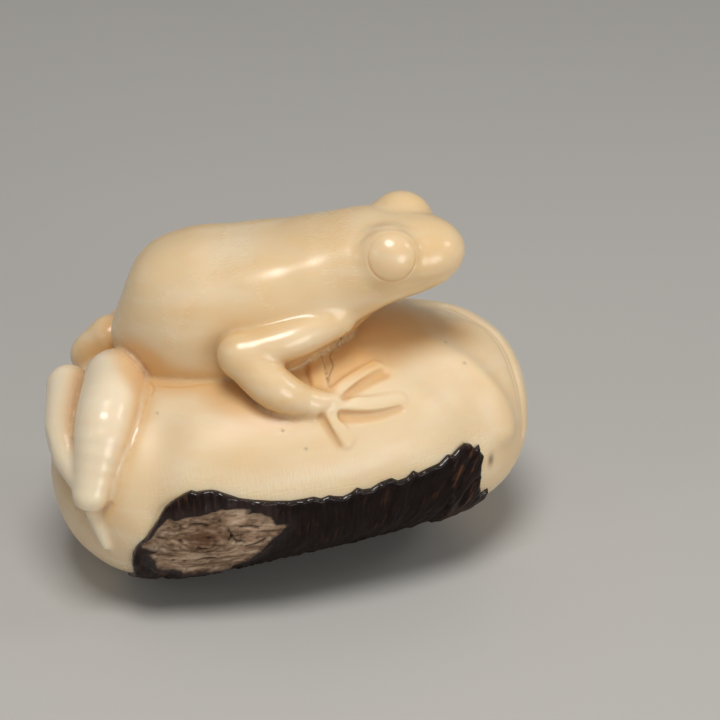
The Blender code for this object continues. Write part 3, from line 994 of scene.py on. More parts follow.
class Recipe:
    """A material's nodes, added and wired one at a time."""

    def __init__(self, name: str) -> None:
        """Starts an empty material.

        Args:
            name: the material's name.
        """
        self.material = bpy.data.materials.new(name)
        self.material.use_nodes = True
        self.tree = self.material.node_tree
        self.principled = self.tree.nodes["Principled BSDF"]

    def fill(self, node: bpy.types.Node, inputs: dict) -> None:
        """Sets or wires a node's inputs.

        Args:
            node: the node.
            inputs: socket names or numbers, each with a value or another node's socket.
        """
        for key, value in inputs.items():
            if isinstance(value, Socket):
                self.tree.links.new(value, node.inputs[key])
            else:
                node.inputs[key].default_value = value

    def node(self, kind: str, inputs: dict, **settings: object) -> bpy.types.Node:
        """A node with its inputs set or wired.

        Args:
            kind: the node's type.
            inputs: socket names or numbers, each with a value or another node's socket.
            settings: the node's own settings.

        Returns:
            The new node.
        """
        node = self.tree.nodes.new(kind)
        for key, value in settings.items():
            setattr(node, key, value)
        self.fill(node, inputs)
        return node

    def place(self) -> Socket:
        """Where on the carving the surface is, in metres."""
        return self.node("ShaderNodeTexCoord", {}).outputs["Object"]

    def mark(self, name: str) -> Socket:
        """A number that the mesh carries at its points."""
        return self.node("ShaderNodeAttribute", {}, attribute_name=name).outputs["Fac"]

    def vector_mark(self, name: str) -> Socket:
        """A place that the mesh carries at its points."""
        return self.node("ShaderNodeAttribute", {}, attribute_name=name).outputs["Vector"]

    def stretched(self, place: Socket, scale: tuple, turn: tuple) -> Socket:
        """A place turned and scaled, so that what is drawn there is stretched."""
        inputs = {"Vector": place, "Scale": scale, "Rotation": turn}
        return self.node("ShaderNodeMapping", inputs).outputs["Vector"]

    def noise(self, place: Socket, scale: float, detail: int, rough: float) -> Socket:
        """Smooth random clouds from 0 to 1."""
        inputs = {"Vector": place, "Scale": scale, "Detail": detail, "Roughness": rough}
        return self.node("ShaderNodeTexNoise", inputs).outputs["Fac"]

    def ramp(self, value: Value, low: float, high: float, to_low: float = 0.0,
             to_high: float = 1.0) -> Socket:
        """A value spread from one range over another, smooth at both ends."""
        inputs = {"Value": value, "From Min": low, "From Max": high, "To Min": to_low, "To Max": to_high}
        return self.node("ShaderNodeMapRange", inputs, interpolation_type="SMOOTHSTEP").outputs["Result"]

    def times(self, value: Value, factor: Value) -> Socket:
        """A value times a number or another value."""
        return self.node("ShaderNodeMath", {0: value, 1: factor}, operation="MULTIPLY").outputs[0]

    def summed(self, parts: list[tuple[Socket, float]]) -> Socket:
        """The sum of values.

        Args:
            parts: the values, each with its weight.

        Returns:
            The sum's socket.
        """
        total = self.times(*parts[0])
        for value, weight in parts[1:]:
            inputs = {0: value, 1: weight, 2: total}
            total = self.node("ShaderNodeMath", inputs, operation="MULTIPLY_ADD").outputs[0]
        return total

    def mixed(self, share: Value, first: Colour, second: Colour) -> Socket:
        """One colour turning into another with a share from 0 to 1."""
        inputs = {"Factor": share, 6: first, 7: second}
        return self.node("ShaderNodeMix", inputs, data_type="RGBA", clamp_factor=True).outputs[2]

    def bump(self, height: Socket, strength: float, distance: float) -> Socket:
        """The surface's direction, roughened by heights."""
        inputs = {"Height": height, "Strength": strength, "Distance": distance}
        return self.node("ShaderNodeBump", inputs).outputs["Normal"]

    def shader(self, colour: Socket, roughness: Socket, normal: Socket, others: dict) -> None:
        """Wires the finished surface.

        Args:
            colour: the base colour's socket.
            roughness: the roughness's socket.
            normal: the bumped direction's socket.
            others: more of the shader's own sockets, each with its value or another node's socket.
        """
        self.fill(self.principled, {"Base Color": colour, "Roughness": roughness, "Normal": normal} | others)


def coordinates(mesh: bpy.types.Mesh) -> np.ndarray:
    """The mesh's points as rows of x, y and z."""
    flat = np.empty(len(mesh.vertices) * 3)
    mesh.vertices.foreach_get("co", flat)
    return flat.reshape(-1, 3)


def move_points(mesh: bpy.types.Mesh, points: np.ndarray) -> None:
    """Moves the mesh's points, held inside the solid's box.

    Args:
        mesh: the mesh.
        points: rows of x, y and z, one for each of its points.
    """
    mesh.vertices.foreach_set("co", np.clip(points, CAD_LOW, CAD_HIGH).ravel())
    mesh.update()


def keep_mark(mesh: bpy.types.Mesh, name: str, values: np.ndarray) -> None:
    """Stores a number or a place for each of the mesh's points.

    Args:
        mesh: the mesh.
        name: what the material reads it by.
        values: one number a point, or rows of three.
    """
    kind, field = ("FLOAT", "value") if values.ndim == 1 else ("FLOAT_VECTOR", "vector")
    mark = mesh.attributes.new(name, kind, "POINT")
    mark.data.foreach_set(field, values.astype(np.float32).ravel())


def softened(mesh: bpy.types.Mesh, values: np.ndarray, rounds: int) -> np.ndarray:
    """Evens out numbers between neighbouring points of the mesh.

    Args:
        mesh: the mesh.
        values: one number a point.
        rounds: how often each number is averaged with its neighbours'.

    Returns:
        The evened numbers.
    """
    ends = np.empty(len(mesh.edges) * 2, int)
    mesh.edges.foreach_get("vertices", ends)
    first, second = ends.reshape(-1, 2).T
    count = np.bincount(ends, minlength=len(values))
    size = len(values)
    for _ in range(rounds):
        total = np.bincount(first, values[second], size) + np.bincount(second, values[first], size)
        values = (values + total / np.maximum(count, 1)) / 2
    return values


def modified(obj: bpy.types.Object, kind: str, **settings) -> None:
    """Replaces the object's mesh with what one modifier makes of it.

    Args:
        obj: the object.
        kind: the modifier's type.
        settings: the modifier's settings.
    """
    modifier = obj.modifiers.new(kind.title(), kind)
    for key, value in settings.items():
        setattr(modifier, key, value)
    bpy.context.view_layer.update()
    mesh = bpy.data.meshes.new_from_object(obj.evaluated_get(bpy.context.evaluated_depsgraph_get()))
    old = obj.data
    obj.modifiers.clear()
    obj.data = mesh
    bpy.data.meshes.remove(old)


def split_finer(mesh: bpy.types.Mesh, chosen: np.ndarray) -> None:
    """Cuts each face whose points are chosen into smaller ones.

    Args:
        mesh: the mesh.
        chosen: for each point, whether the mesh gets finer there.
    """
    work = bmesh.new()
    work.from_mesh(mesh)
    work.verts.ensure_lookup_table()
    edges = [edge for edge in work.edges if chosen[edge.verts[0].index] and chosen[edge.verts[1].index]]
    bmesh.ops.subdivide_edges(work, edges=edges, cuts=1, use_grid_fill=True)
    work.to_mesh(mesh)
    work.free()
    mesh.update()


def spot(points: np.ndarray, middle: np.ndarray, width: float | np.ndarray) -> np.ndarray:
    """1 at a place, falling to 0 around it over a width, or over a width for each axis."""
    return np.exp(-(((points - middle) / width) ** 2).sum(1))


@dataclass
class Carving:
    """The ivory: the frog and the bare nut, with every cut that the carver made."""

    sight: Sight
    nut: Nut
    frog: Frog
    skin: "NutSkin"
    finish: IvoryFinish
    ring: EyeRing = EyeRing()
    base_voxel: float = 0.00045
    press_reach: float = 0.4 * MM
    evening_rounds: int = 4
    facet_size: float = 4.2 * MM
    facet_height: float = 0.05 * MM
    pit_depth: float = 0.12 * MM
    pit_width: float = 0.14 * MM
    pit_dirt_width: float = 0.16 * MM
    crevice_reach: float = 0.9 * MM
    hollow_reach: float = 5.0 * MM
    filed_reach: float = 4.0 * MM
    crease_probe: float = 0.7 * MM
    crease_gap: float = 0.5 * MM
    hand_reach: float = 1.2 * MM
    eye_reach: float = 6 * MM
    narrow_line: float = 0.6 * MM
    narrow_groove: float = 0.8 * MM
    narrow_reach: float = 1.2 * MM
    under_skin: float = 0.5 * MM
    ring_reach: float = 0.7 * MM
    finest_line: float = 0.25 * MM
    finest_reach: float = 0.40 * MM
    pit_reach: float = 0.5 * MM

    PALE_FORMS = ("thigh.right", "shank.right", "foot.right")
    STAIN_WIDTHS = (0.45, 0.45, 0.8)

    @cached_property
    def facets(self) -> Grain:
        """The soft waves that the carver's blade left."""
        return Grain(11)

    @cached_property
    def eyes(self) -> list[tuple[np.ndarray, np.ndarray]]:
        """Each eye dome's middle and the direction in which its ring lies."""
        axes = self.frog.face_axes
        right, left = (lobe.centre for lobe in self.frog.body if lobe.name.startswith("eye"))
        out = self.sight.onto(self.frog.distance, [self.ring.pixel])[0] - right
        out = axes.T @ (out / np.linalg.norm(out))
        twin = out * np.array([1, -1, 1]) - np.array([0, 0, self.ring.far_drop])
        return [(right, axes @ out), (left, axes @ (twin / np.linalg.norm(twin)))]

    @cached_property
    def lines(self) -> list[tuple[CarvedLine, np.ndarray]]:
        """Each carved line with its fine line on the carving."""
        pixels = [pixel for line in CARVED_LINES for pixel in line.pixels]
        ends = np.cumsum([len(line.pixels) for line in CARVED_LINES])
        places = np.split(self.sight.onto(self.frog.distance, pixels), ends[:-1])
        return [(line, line.stations(part)) for line, part in zip(CARVED_LINES, places)]

    @cached_property
    def pits(self) -> np.ndarray:
        """The small pits' places."""
        return self.sight.onto(self.frog.distance, list(PITS))

    def distance(self, points: np.ndarray) -> np.ndarray:
        """How far points are outside the finished ivory.

        Args:
            points: rows of x, y and z.

        Returns:
            One distance a point.
        """
        distance = self.frog.distance(points)
        distance += self.facet_height * self.facets.at(points, self.facet_size)
        distance += self.skin.bed_depth(points)
        for line, stations in self.lines:
            distance += line.depth * line.share(points, stations)
        for middle, out in self.eyes:
            distance += self.ring.relief(points, middle, out)[0]
        for pit in self.pits:
            distance += self.pit_depth * spot(points, pit, self.pit_width)
        return distance

    def press(self, mesh: bpy.types.Mesh, rounds: int, relaxed: int = 0) -> np.ndarray:
        """Draws the mesh onto the finished ivory.

        Args:
            mesh: the mesh.
            rounds: how many times its points are moved.
            relaxed: in how many of the first rounds the mesh is also evened out.

        Returns:
            The outward direction at each point.
        """
        points = coordinates(mesh)
        for turn in range(rounds):
            if turn % 2 == 0:
                if turn < relaxed:
                    columns = [softened(mesh, column, self.evening_rounds) for column in points.T]
                    points = np.column_stack(columns)
                outward = outward_of(points, self.distance)
            way = np.clip(self.distance(points), -self.press_reach, self.press_reach)
            points = points - outward * way[:, None]
        move_points(mesh, points)
        return outward

    def busy(self, points: np.ndarray, outward: np.ndarray) -> np.ndarray:
        """Where the mesh has to be finer: in creases and cuts, on the hands and round the eyes.

        Args:
            points: rows of x, y and z.
            outward: the outward direction at each point.

        Returns:
            For each point, whether it has to be finer there.
        """
        crease = self.frog.distance(points + outward * self.crease_probe) < self.crease_gap
        hand = nearest(self.frog.hands, points) < self.hand_reach
        from_eyes = [np.linalg.norm(points - middle, axis=1) for middle, _ in self.eyes]
        eye = np.min(from_eyes, axis=0) < self.eye_reach
        cuts = [stations for line, stations in self.lines if line.width < self.narrow_line]
        cuts += [line for line, _, width in self.nut.lines if width < self.narrow_groove]
        cut = np.min([line_distance(points, stations) for stations in cuts], axis=0) < self.narrow_reach
        return (crease | hand | eye | cut) & (self.skin.depth_inside(points) < self.under_skin)

    def fine(self, points: np.ndarray) -> np.ndarray:
        """Where the mesh has to be finest: on the eye rings, the narrowest cuts and the pits.

        Args:
            points: rows of x, y and z.

        Returns:
            For each point, whether it has to be finest there.
        """
        chosen = np.zeros(len(points), bool)
        for middle, out in self.eyes:
            along, away = from_axis(points, middle, out)
            chosen |= (np.abs(away - self.ring.radius) < self.ring_reach) & (along > 0)
        for line, stations in self.lines:
            if line.width < self.finest_line:
                chosen |= line_distance(points, stations) < self.finest_reach
        for pit in self.pits:
            chosen |= ((points - pit) ** 2).sum(1) < self.pit_reach ** 2
        return chosen

    def keep_marks(self, mesh: bpy.types.Mesh) -> None:
        """Stores where the ivory gets painted shade in its creases, wide hollows and ochre lines, and where it
        is dirty, stained, pale or filed.

        Args:
            mesh: the finished mesh.
        """
        points = coordinates(mesh)
        outward = outward_of(points, self.frog.distance)
        # Painted shade: how deep in a crease each point lies, less on the hands; the material turns creases
        # rose.
        near = 1 - self.frog.distance(points + outward * self.crevice_reach) / self.crevice_reach
        wide = 1 - self.frog.distance(points + outward * self.hollow_reach) / self.hollow_reach
        off_hand = soft_step(nearest(self.frog.hands, points), 0.8 * MM, 1.6 * MM)
        near = soft_step(near, 0.62, 0.6) * (0.25 + 0.75 * off_hand)
        keep_mark(mesh, "crevice", softened(mesh, near, 4))
        # Painted shade: the wide hollows that the material turns ochre.
        keep_mark(mesh, "hollow", softened(mesh, soft_step(wide, 0.36, 0.6), 8))
        gap = nearest(self.frog.body + self.frog.limbs, points)
        leg = nearest([form for form in self.frog.limbs if form.name in self.PALE_FORMS], points)
        keep_mark(mesh, "nut", softened(mesh, soft_step(gap, 1.2 * MM, 2.4 * MM), 3))
        keep_mark(mesh, "pale", softened(mesh, 1 - soft_step(leg, 0.3 * MM, 0.8 * MM), 3))
        # Colours of the carved lines, eye rings and pits; the ochre in undercuts and under the chin is painted
        # shade.
        cut_tints = {fill: np.zeros(len(points)) for fill in Cut}
        for line, stations in self.lines:
            cut_tints[line.fill] = np.maximum(cut_tints[line.fill], line.share(points, stations, 1.15))
        for middle, out in self.eyes:
            ring = self.ring.relief(points, middle, out)[1]
            cut_tints[Cut.OCHRE] = np.maximum(cut_tints[Cut.OCHRE], self.ring.ring_tint * ring)
        for pit in self.pits:
            cut_tints[Cut.DUSTY] = np.maximum(cut_tints[Cut.DUSTY], spot(points, pit, self.pit_dirt_width))
        place = self.sight.onto(self.nut.distance, [STAIN])[0]
        stain = spot(points, place, np.array(self.STAIN_WIDTHS) * MM)
        keep_mark(mesh, "ochre", cut_tints[Cut.OCHRE])
        keep_mark(mesh, "umber", np.maximum.reduce([cut_tints[Cut.DARK], 0.55 * cut_tints[Cut.DUSTY], 0.8 * stain]))
        away = -self.skin.depth_inside(points)
        keep_mark(mesh, "filed", np.exp(-(away / self.filed_reach) ** 2) * (away > 0))

    def build(self) -> bpy.types.Object:
        """The ivory as one fine mesh, standing for the solid.

        Returns:
            The finished piece.
        """
        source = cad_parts["frog_on_nut"]
        piece = placed("ivory_carving", source.data.copy())
        modified(piece, "REMESH", mode="VOXEL", voxel_size=self.base_voxel)
        outward = self.press(piece.data, 6, 4)
        split_finer(piece.data, self.busy(coordinates(piece.data), outward))
        self.press(piece.data, 2, 1)
        split_finer(piece.data, self.fine(coordinates(piece.data)))
        self.press(piece.data, 4)
        self.keep_marks(piece.data)
        piece.data.materials.clear()
        piece.data.materials.append(self.finish.material())
        piece.data.shade_smooth()
        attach(piece, "root")
        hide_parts("frog_on_nut")
        return piece


@dataclass(frozen=True)
class FlatMap:
    """Numbers kept on an even grid of the skin's flat map, and read between its places."""

    low: np.ndarray
    cell: float
    values: np.ndarray

    def at(self, flat: np.ndarray) -> np.ndarray:
        """The number at each place, or the edge's number beyond the grid.

        Args:
            flat: rows of two numbers on the flat map.

        Returns:
            One number a place.
        """
        place = np.clip((flat - self.low) / self.cell, 0, np.array(self.values.shape) - 1.001)
        cell = place.astype(int)
        x, y = (place - cell).T
        i, j = cell.T
        near = self.values[i, j] * (1 - y) + self.values[i, j + 1] * y
        far = self.values[i + 1, j] * (1 - y) + self.values[i + 1, j + 1] * y
        return near * (1 - x) + far * x


@dataclass
class NutSkin:
    """The brown skin on the lower front and the underside, with the bare oval scar in its left part."""

    sight: Sight
    nut: Nut
    finish: SkinFinish
    height: float = 0.42 * MM
    thickness: float = 0.65 * MM
    edge_rounding: float = 0.40 * MM
    scar_sink: float = 0.60 * MM
    split_depth: float = 0.40 * MM
    split_width: float = 0.28 * MM
    spacing: float = 0.20 * MM
    under_spacing: float = 0.40 * MM
    under_from: float = -55.0
    caught_share: float = 0.55
    roll_radius: float = 16.0 * MM
    map_cell: float = 0.15 * MM
    map_margin: float = 6 * MM
    fibre_tilt: float = math.radians(27)
    crack_width: float = 0.13 * MM
    ring_spacing: float = 0.80 * MM

    TOP_EDGE = ((131.4, 560.6), (132.5, 553), (135.8, 546.5), (140, 542), (145.4, 537.6), (149, 532),
                (152.4, 527.4), (155, 523), (158.2, 518.5), (161, 513), (164.5, 507), (170, 502),
                (176, 498), (184, 493.4), (191.3, 489.8), (196.4, 491.6), (203, 490.2), (211.7, 489.4),
                (218, 490.8), (224.5, 493), (232, 495.4), (239.8, 498), (252.6, 499.6), (271.7, 500.6),
                (290.8, 500.6), (303.6, 498.7), (313.8, 496.5), (321.4, 498.2), (329, 494.8),
                (334.1, 495.7), (343, 496), (350.7, 492.5), (357, 487.4), (363.5, 489.3), (371.1, 488),
                (380, 482.3), (391.5, 477.8), (397.9, 480.4), (406.8, 477.2), (413.2, 470.2),
                (418.3, 472.7), (427.2, 468.3), (438.7, 463.2), (447.6, 454.2), (451.5, 454.9),
                (456.6, 449.1), (464.2, 442.8), (470.6, 443.4), (474.4, 448.5), (478.9, 443.4),
                (479.5, 450.4), (483.4, 454.9), (480.8, 464.4), (480.8, 475.9), (479.5, 484.8),
                (480.8, 492.5), (484, 490), (487.5, 488), (486, 492.5))
    SCAR_EDGE = ((141.6, 543.3), (150.5, 538.9), (158.2, 527.4), (168.4, 517.8), (176, 520.4),
                 (183.7, 517.8), (204.1, 514), (221.9, 508.9), (239.8, 508.3), (251.3, 508.3),
                 (247.4, 514), (260.2, 512.1), (271.7, 517.2), (275.5, 524.8), (288.3, 524.8),
                 (278, 533.8), (265.3, 545.3), (252.6, 556.7), (237.2, 564), (221.9, 568), (204.1, 570),
                 (186.2, 571), (173.5, 569), (158.2, 566.5), (154.3, 559.3), (149.2, 552.9),
                 (159.4, 549.7), (142.9, 546.5))
    SPLITS = (((447.6, 459), (438, 477), (429, 495)), ((477, 449), (466, 470), (455, 491)),
              ((474.4, 479), (466, 490), (459, 501)), ((466, 450), (457, 468), (449, 484)),
              ((418, 476), (412, 490), (408, 503)), ((398, 484), (395, 496), (391, 506)),
              ((371, 492), (369, 500), (366, 507)), ((352, 497), (350, 505), (348, 512)))
    SCAR_CRACKS = (((136, 549.5), (148, 550), (159, 549.5)), ((189, 526), (199, 525), (207, 527)),
                   ((196, 562), (205, 560), (215, 559.5)), ((232, 536), (236, 542), (245, 543)),
                   ((228, 531), (231, 536), (229, 541)), ((198, 549), (202, 550.5), (206, 550)),
                   ((240, 528), (250, 527), (259, 529)), ((246, 547), (256, 545), (266, 540)))
    UNDER_EDGE = ((140, 576), (170, 577), (205, 576), (240, 567), (262, 553), (288, 529), (315, 522),
                  (340, 515), (366, 511), (404, 510), (440, 512), (468, 510))
    SCAR_MIDDLE = (199.0, 541.0)
    SCAR_BOSS = (203.0, 539.0)
    HIDDEN_EDGE = ((0.362, -36), (0.355, -48), (0.35, -70), (0.33, -92), (0.29, -112), (0.20, -122),
                   (0.08, -127), (-0.04, -123), (-0.16, -127), (-0.27, -119), (-0.34, -104),
                   (-0.375, -80), (-0.385, -58), (-0.382, -44))

    def flat(self, points: np.ndarray) -> np.ndarray:
        """The skin's own flat map: metres along the nut and metres around it."""
        return np.column_stack([points[:, 0], np.radians(self.nut.roll(points)) * self.roll_radius])

    def mapped(self, pixels: tuple) -> np.ndarray:
        """Places of the picture on the skin's flat map."""
        return self.flat(self.sight.onto(self.nut.bare, list(pixels)))

    @cached_property
    def outline(self) -> np.ndarray:
        """The skin's edge on the flat map: seen along its top, and chosen where the nut hides it."""
        hidden = np.array(self.HIDDEN_EDGE) * np.array([self.nut.length, math.radians(1) * self.roll_radius])
        return np.vstack([self.mapped(self.TOP_EDGE), hidden])

    @cached_property
    def scar_outline(self) -> np.ndarray:
        """The scar's edge on the flat map."""
        return self.mapped(self.SCAR_EDGE)

    @staticmethod
    def inside(places: np.ndarray, outline: np.ndarray) -> np.ndarray:
        """How far places are inside an outline on the flat map.

        Args:
            places: rows of two numbers.
            outline: the outline's corners in order.

        Returns:
            One distance a place, negative outside.
        """
        nearest = np.full(len(places), np.inf)
        within = np.zeros(len(places), bool)
        for start, end in zip(outline, np.roll(outline, -1, axis=0)):
            along = end - start
            share = np.clip((places - start) @ along / (along @ along), 0, 1)
            gap = places - start - share[:, None] * along
            nearest = np.minimum(nearest, np.hypot(gap[:, 0], gap[:, 1]))
            crosses = (start[1] > places[:, 1]) != (end[1] > places[:, 1])
            rise = end[1] - start[1]
            at = start[0] + (places[:, 1] - start[1]) * (end[0] - start[0]) / (rise if rise else 1e-12)
            within ^= crosses & (places[:, 0] < at)
        return np.where(within, nearest, -nearest)

    def chart(self, outline: np.ndarray) -> FlatMap:
        """How far places are inside an outline, kept on a grid a little larger than the skin.

        Args:
            outline: the outline's corners in order.

        Returns:
            The grid, negative outside.
        """
        low = self.outline.min(0) - self.map_margin
        counts = ((self.outline.max(0) + self.map_margin - low) / self.map_cell).astype(int)
        columns, rows = (low[axis] + np.arange(counts[axis]) * self.map_cell for axis in (0, 1))
        places = np.stack(np.meshgrid(columns, rows, indexing="ij"), axis=-1)
        depths = self.inside(places.reshape(-1, 2), outline)
        return FlatMap(low, self.map_cell, depths.reshape(counts))

    @cached_property
    def skin_chart(self) -> FlatMap:
        """How far places are inside the skin."""
        return self.chart(self.outline)

    @cached_property
    def scar_chart(self) -> FlatMap:
        """How far places are inside the scar."""
        return self.chart(self.scar_outline)

    def depth_inside(self, points: np.ndarray) -> np.ndarray:
        """How far points on the nut are inside the skin's outline."""
        return self.skin_chart.at(self.flat(points))

    def bed_depth(self, points: np.ndarray) -> np.ndarray:
        """How far the ivory is sunk under the skin, so that it stays hidden below it.

        Args:
            points: rows of x, y and z on the nut.

        Returns:
            One depth a point.
        """
        flat = self.flat(points)
        under = soft_step(self.skin_chart.at(flat), 0.75 * MM, 0.7 * MM)
        scar = soft_step(self.scar_chart.at(flat), -0.2 * MM, 0.8 * MM)
        return under * (self.nut.skin_bed + (self.nut.scar_bed - self.nut.skin_bed) * scar)

    def grid(self) -> tuple[np.ndarray, list[tuple[int, ...]]]:
        """The skin's faces on the flat map, with their edge snapped to its outline.

        Returns:
            Rows of two numbers, and each face's corners.
        """
        low = self.outline.min(0) - self.spacing
        high = self.outline.max(0) + self.spacing
        change = math.radians(self.under_from) * self.roll_radius
        columns = np.arange(low[0], high[0] + self.spacing, self.spacing)
        rows = np.concatenate([np.arange(low[1], change, self.under_spacing),
                               np.arange(change, high[1] + self.spacing, self.spacing)])
        places = np.stack(np.meshgrid(columns, rows, indexing="ij"), axis=-1).reshape(-1, 2)
        depth = self.inside(places, self.outline)
        small = 0.01 * MM
        slope = np.column_stack([self.inside(places + (small, 0), self.outline) - depth,
                                 self.inside(places + (0, small), self.outline) - depth]) / small
        slope /= np.linalg.norm(slope, axis=1, keepdims=True) + 1e-12
        cell = np.where(places[:, 1] < change, self.under_spacing, self.spacing)
        caught = np.abs(depth) < self.caught_share * cell
        places[caught] -= slope[caught] * depth[caught, None]
        kept = (depth > 0) | caught
        index = np.arange(len(places)).reshape(len(columns), len(rows))
        faces = []
        for corners in zip(index[:-1, :-1].ravel(), index[1:, :-1].ravel(), index[1:, 1:].ravel(),
                           index[:-1, 1:].ravel()):
            stay = tuple(int(corner) for corner in corners if kept[corner])
            if len(stay) >= 3 and not all(caught[corner] for corner in stay):
                faces.append(stay)
        return places, faces

    def relief(self, flat: np.ndarray) -> dict[str, np.ndarray]:
        """The skin's height over the bare nut, and what its surface is.

        Args:
            flat: rows of two numbers on the flat map.

        Returns:
            The heights and the marks, by name.
        """
        depth = self.inside(flat, self.outline)
        scar_depth = self.inside(flat, self.scar_outline)
        block = with_zeros(self.grain(flat))
        lump = Grain(3).at(block, (1.5 * MM, 0.9 * MM, 1.0))
        strand = Grain(5).at(block, (4.0 * MM, 0.50 * MM, 1.0))
        thread = Grain(7).at(block, (1.8 * MM, 0.22 * MM, 1.0))
        split = np.clip(Grain(9).at(block, (7.0 * MM, 1.1 * MM, 1.0)) - 0.40, 0, 1) / 0.6
        for line in self.SPLITS:
            split = np.maximum(split, self.line_share(flat, self.mapped(line), self.split_width))
        scar = soft_step(scar_depth, 0.05 * MM, 0.22 * MM)
        edge = np.clip(depth / self.edge_rounding, 0, 1)
        rounded = np.sqrt(np.maximum(1 - (1 - edge) ** 2, 0))
        lip = soft_step(scar_depth, -1.0 * MM, 1.8 * MM) * (1 - scar)
        under = self.under_share(flat)
        skin = self.height * rounded + edge * (0.09 * lump + 0.11 * strand + 0.05 * thread) * MM
        skin += edge * lip * 0.16 * MM * Grain(17).at(block, (0.8 * MM, 0.8 * MM, 1.0))
        lowered = np.minimum(self.split_depth * split + 0.30 * MM * under, 0.45 * MM)
        skin -= soft_step(depth, 0.9 * MM, 0.9 * MM) * lowered
        dry = self.scar_relief(flat)
        height = skin * (1 - scar) + dry["height"] * scar
        return {"height": height, "scar": scar, "ring": dry["ring"] * scar, "pit": dry["pit"] * scar,
                "boss": dry["boss"] * scar, "rim": 1 - soft_step(depth, 0.26 * MM, 0.3 * MM),
                "split": split * (1 - scar), "under": under * (1 - scar), "lip": lip}

    def scar_relief(self, flat: np.ndarray) -> dict[str, np.ndarray]:
        """The scar's height over the bare nut, its rings, its pits and the boss near its middle.

        Args:
            flat: rows of two numbers on the flat map.

        Returns:
            The height and the marks, by name.
        """
        middle, boss = self.mapped((self.SCAR_MIDDLE, self.SCAR_BOSS))
        block = with_zeros(flat)
        away = np.linalg.norm((flat - middle) * np.array([0.72, 1.25]), axis=1)
        away += 0.35 * MM * Grain(13).at(block, 1.5 * MM)
        ring = 0.5 + 0.5 * np.cos(away / self.ring_spacing * 2 * math.pi)
        ring *= 1 - soft_step(away, 3.6 * MM, 2.4 * MM)
        knob = spot(flat, boss, np.array([2.1, 1.4]) * MM)
        flake = Grain(19).at(block, (1.7 * MM, 0.45 * MM, 1.0))
        crumb = Grain(21).at(block, (0.55 * MM, 0.25 * MM, 1.0))
        pit = np.clip(Grain(15).at(block, (0.62 * MM, 0.30 * MM, 1.0)) - 0.50, 0, 1) / 0.5
        for line in self.SCAR_CRACKS:
            pit = np.maximum(pit, self.line_share(flat, self.mapped(line), self.crack_width))
        height = self.height - self.scar_sink + (0.09 * flake + 0.06 * crumb + 0.07 * ring) * MM
        height += 0.22 * MM * knob - 0.18 * MM * pit - 0.25 * MM * np.exp(-(away / (1.8 * MM)) ** 2)
        return {"height": height, "ring": ring, "pit": pit, "boss": knob}

    def line_share(self, flat: np.ndarray, line: np.ndarray, width: float) -> np.ndarray:
        """How much places are on a line of the flat map.

        Args:
            flat: rows of two numbers on the flat map.
            line: the line's own places there.
            width: how far the line reaches.

        Returns:
            Shares from 1 on the line to 0 away from it.
        """
        stations = smooth_line(with_zeros(line, 2))
        return np.exp(-(line_distance(with_zeros(flat), stations, 2 * MM) / width) ** 2)

    def under_share(self, flat: np.ndarray) -> np.ndarray:
        """1 on the broken underside below the skin's lower ridge, 0 above it; the skin is sunk there and
        darker as painted shade.
        """
        ridge = self.mapped(self.UNDER_EDGE)
        return soft_step(np.interp(flat[:, 0], ridge[:, 0], ridge[:, 1]) - flat[:, 1], 0.15 * MM, 0.4 * MM)

    def grain(self, flat: np.ndarray) -> np.ndarray:
        """Places along and across the skin's fibres, which lean over towards the nut's right end.

        Args:
            flat: rows of two numbers on the flat map.

        Returns:
            Rows of two numbers.
        """
        tilt = self.fibre_tilt * soft_step(flat[:, 0], 0.12 * self.nut.length, 0.3 * self.nut.length)
        along = flat[:, 0] * np.sin(tilt) + flat[:, 1] * np.cos(tilt)
        across = flat[:, 0] * np.cos(tilt) - flat[:, 1] * np.sin(tilt)
        return np.column_stack([along, across])

    def build(self) -> bpy.types.Object:
        """The skin as a closed shell lying on the ivory.

        Returns:
            The finished piece.
        """
        flat, faces = self.grid()
        used = np.unique(np.concatenate([np.array(face) for face in faces]))
        renumber = np.full(len(flat), -1)
        renumber[used] = np.arange(len(used))
        flat = flat[used]
        relief = self.relief(flat)
        places = self.nut.at(flat[:, 0], np.degrees(flat[:, 1] / self.roll_radius))
        outward = outward_of(places, self.nut.bare)
        places = places + outward * relief["height"][:, None]
        mesh = bpy.data.meshes.new("nut_skin")
        mesh.from_pydata(places.tolist(), [], [[int(renumber[corner]) for corner in face] for face in faces])
        for name in relief:
            if name != "height":
                keep_mark(mesh, name, relief[name])
        keep_mark(mesh, "grain", with_zeros(self.grain(flat)))
        piece = placed("nut_skin", mesh)
        move_points(mesh, coordinates(mesh))
        modified(piece, "SOLIDIFY", thickness=self.thickness, offset=-1.0)
        move_points(piece.data, coordinates(piece.data))
        piece.data.materials.append(self.finish.material())
        piece.data.shade_smooth()
        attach(piece, "root")
        return piece


@dataclass(frozen=True)
class SoftLight:
    """A round light, its place given in degrees around and above the carving."""

    name: str
    azimuth: float
    elevation: float
    away: float
    size: float
    power: float
    colour: tuple[float, float, float] = (1.0, 0.98, 0.95)
    aim_height: float = 0.02

    def build(self) -> bpy.types.Object:
        """The light, aimed at the carving.

        Returns:
            The light.
        """
        data = bpy.data.lights.new(self.name, "AREA")
        data.shape = "DISK"
        data.size = self.size
        data.energy = self.power
        data.color = self.colour
        light = placed(self.name, data)
        back = Vector(toward(math.radians(self.azimuth), math.radians(self.elevation)))
        light.location = Vector((0, 0, self.aim_height)) + back * self.away
        light.rotation_euler = back.to_track_quat("Z", "Y").to_euler()
        return light


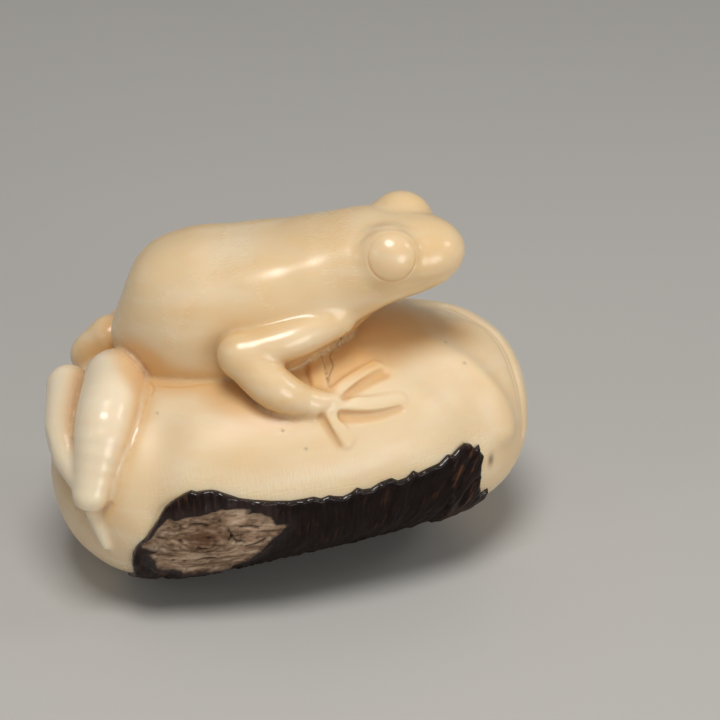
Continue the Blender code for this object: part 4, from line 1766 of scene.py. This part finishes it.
@dataclass(frozen=True)
class Studio:
    """The plain pale floor and the soft light."""

    floor_size: float = 3.0
    floor_colour: tuple = (0.52, 0.51, 0.49, 1.0)
    sky: tuple = (1.0, 0.98, 0.95, 1.0)
    sky_strength: float = 0.22
    lights: tuple[SoftLight, ...] = (
        SoftLight("top_light", -18, 70, 0.45, 0.19, 1.24),
        SoftLight("left_light", -68, 30, 0.55, 0.12, 0.085),
        SoftLight("right_light", 72, 36, 0.60, 0.15, 0.30),
        SoftLight("front_light", 20, 10, 0.60, 0.30, 0.98, (1.0, 0.98, 0.94)),
    )

    def build(self) -> None:
        """Lays the floor, sets the sky and hangs the lights."""
        bpy.ops.mesh.primitive_grid_add(x_subdivisions=8, y_subdivisions=8, size=self.floor_size)
        floor = bpy.context.object
        floor.name = "pale_floor"
        recipe = Recipe("pale_floor")
        cloud = recipe.noise(recipe.place(), 9.0, 3, 0.5)
        lighter = tuple(min(1.0, part * 1.04) for part in self.floor_colour[:3]) + (1.0,)
        colour = recipe.mixed(cloud, self.floor_colour, lighter)
        bump = recipe.bump(recipe.noise(recipe.place(), 900.0, 2, 0.5), 0.05, 0.0001)
        recipe.shader(colour, recipe.ramp(cloud, 0.0, 1.0, 0.62, 0.70), bump, {})
        floor.data.materials.append(recipe.material)
        floor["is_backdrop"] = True
        world = bpy.data.worlds.new("soft_sky")
        world.use_nodes = True
        world.node_tree.nodes["Background"].inputs["Color"].default_value = self.sky
        world.node_tree.nodes["Background"].inputs["Strength"].default_value = self.sky_strength
        bpy.context.scene.world = world
        bpy.context.scene.view_settings.view_transform = "Standard"
        for light in self.lights:
            light.build()


def main() -> None:
    """Builds the camera, the carving, the skin and the studio, and reports each piece."""
    logging.basicConfig(level=logging.INFO, format="%(message)s")
    sight = Sight()
    sight.build()
    nut = Nut()
    frog = Frog(nut)
    skin = NutSkin(sight, nut, SkinFinish())
    carving = Carving(sight, nut, frog, skin, IvoryFinish())
    for part in (carving, skin):
        piece = part.build()
        triangles = sum(len(face.vertices) - 2 for face in piece.data.polygons)
        LOG.info("%s: %d points, %d triangles", piece.name, len(piece.data.vertices), triangles)
    Studio().build()


if __name__ == "__main__":
    main()
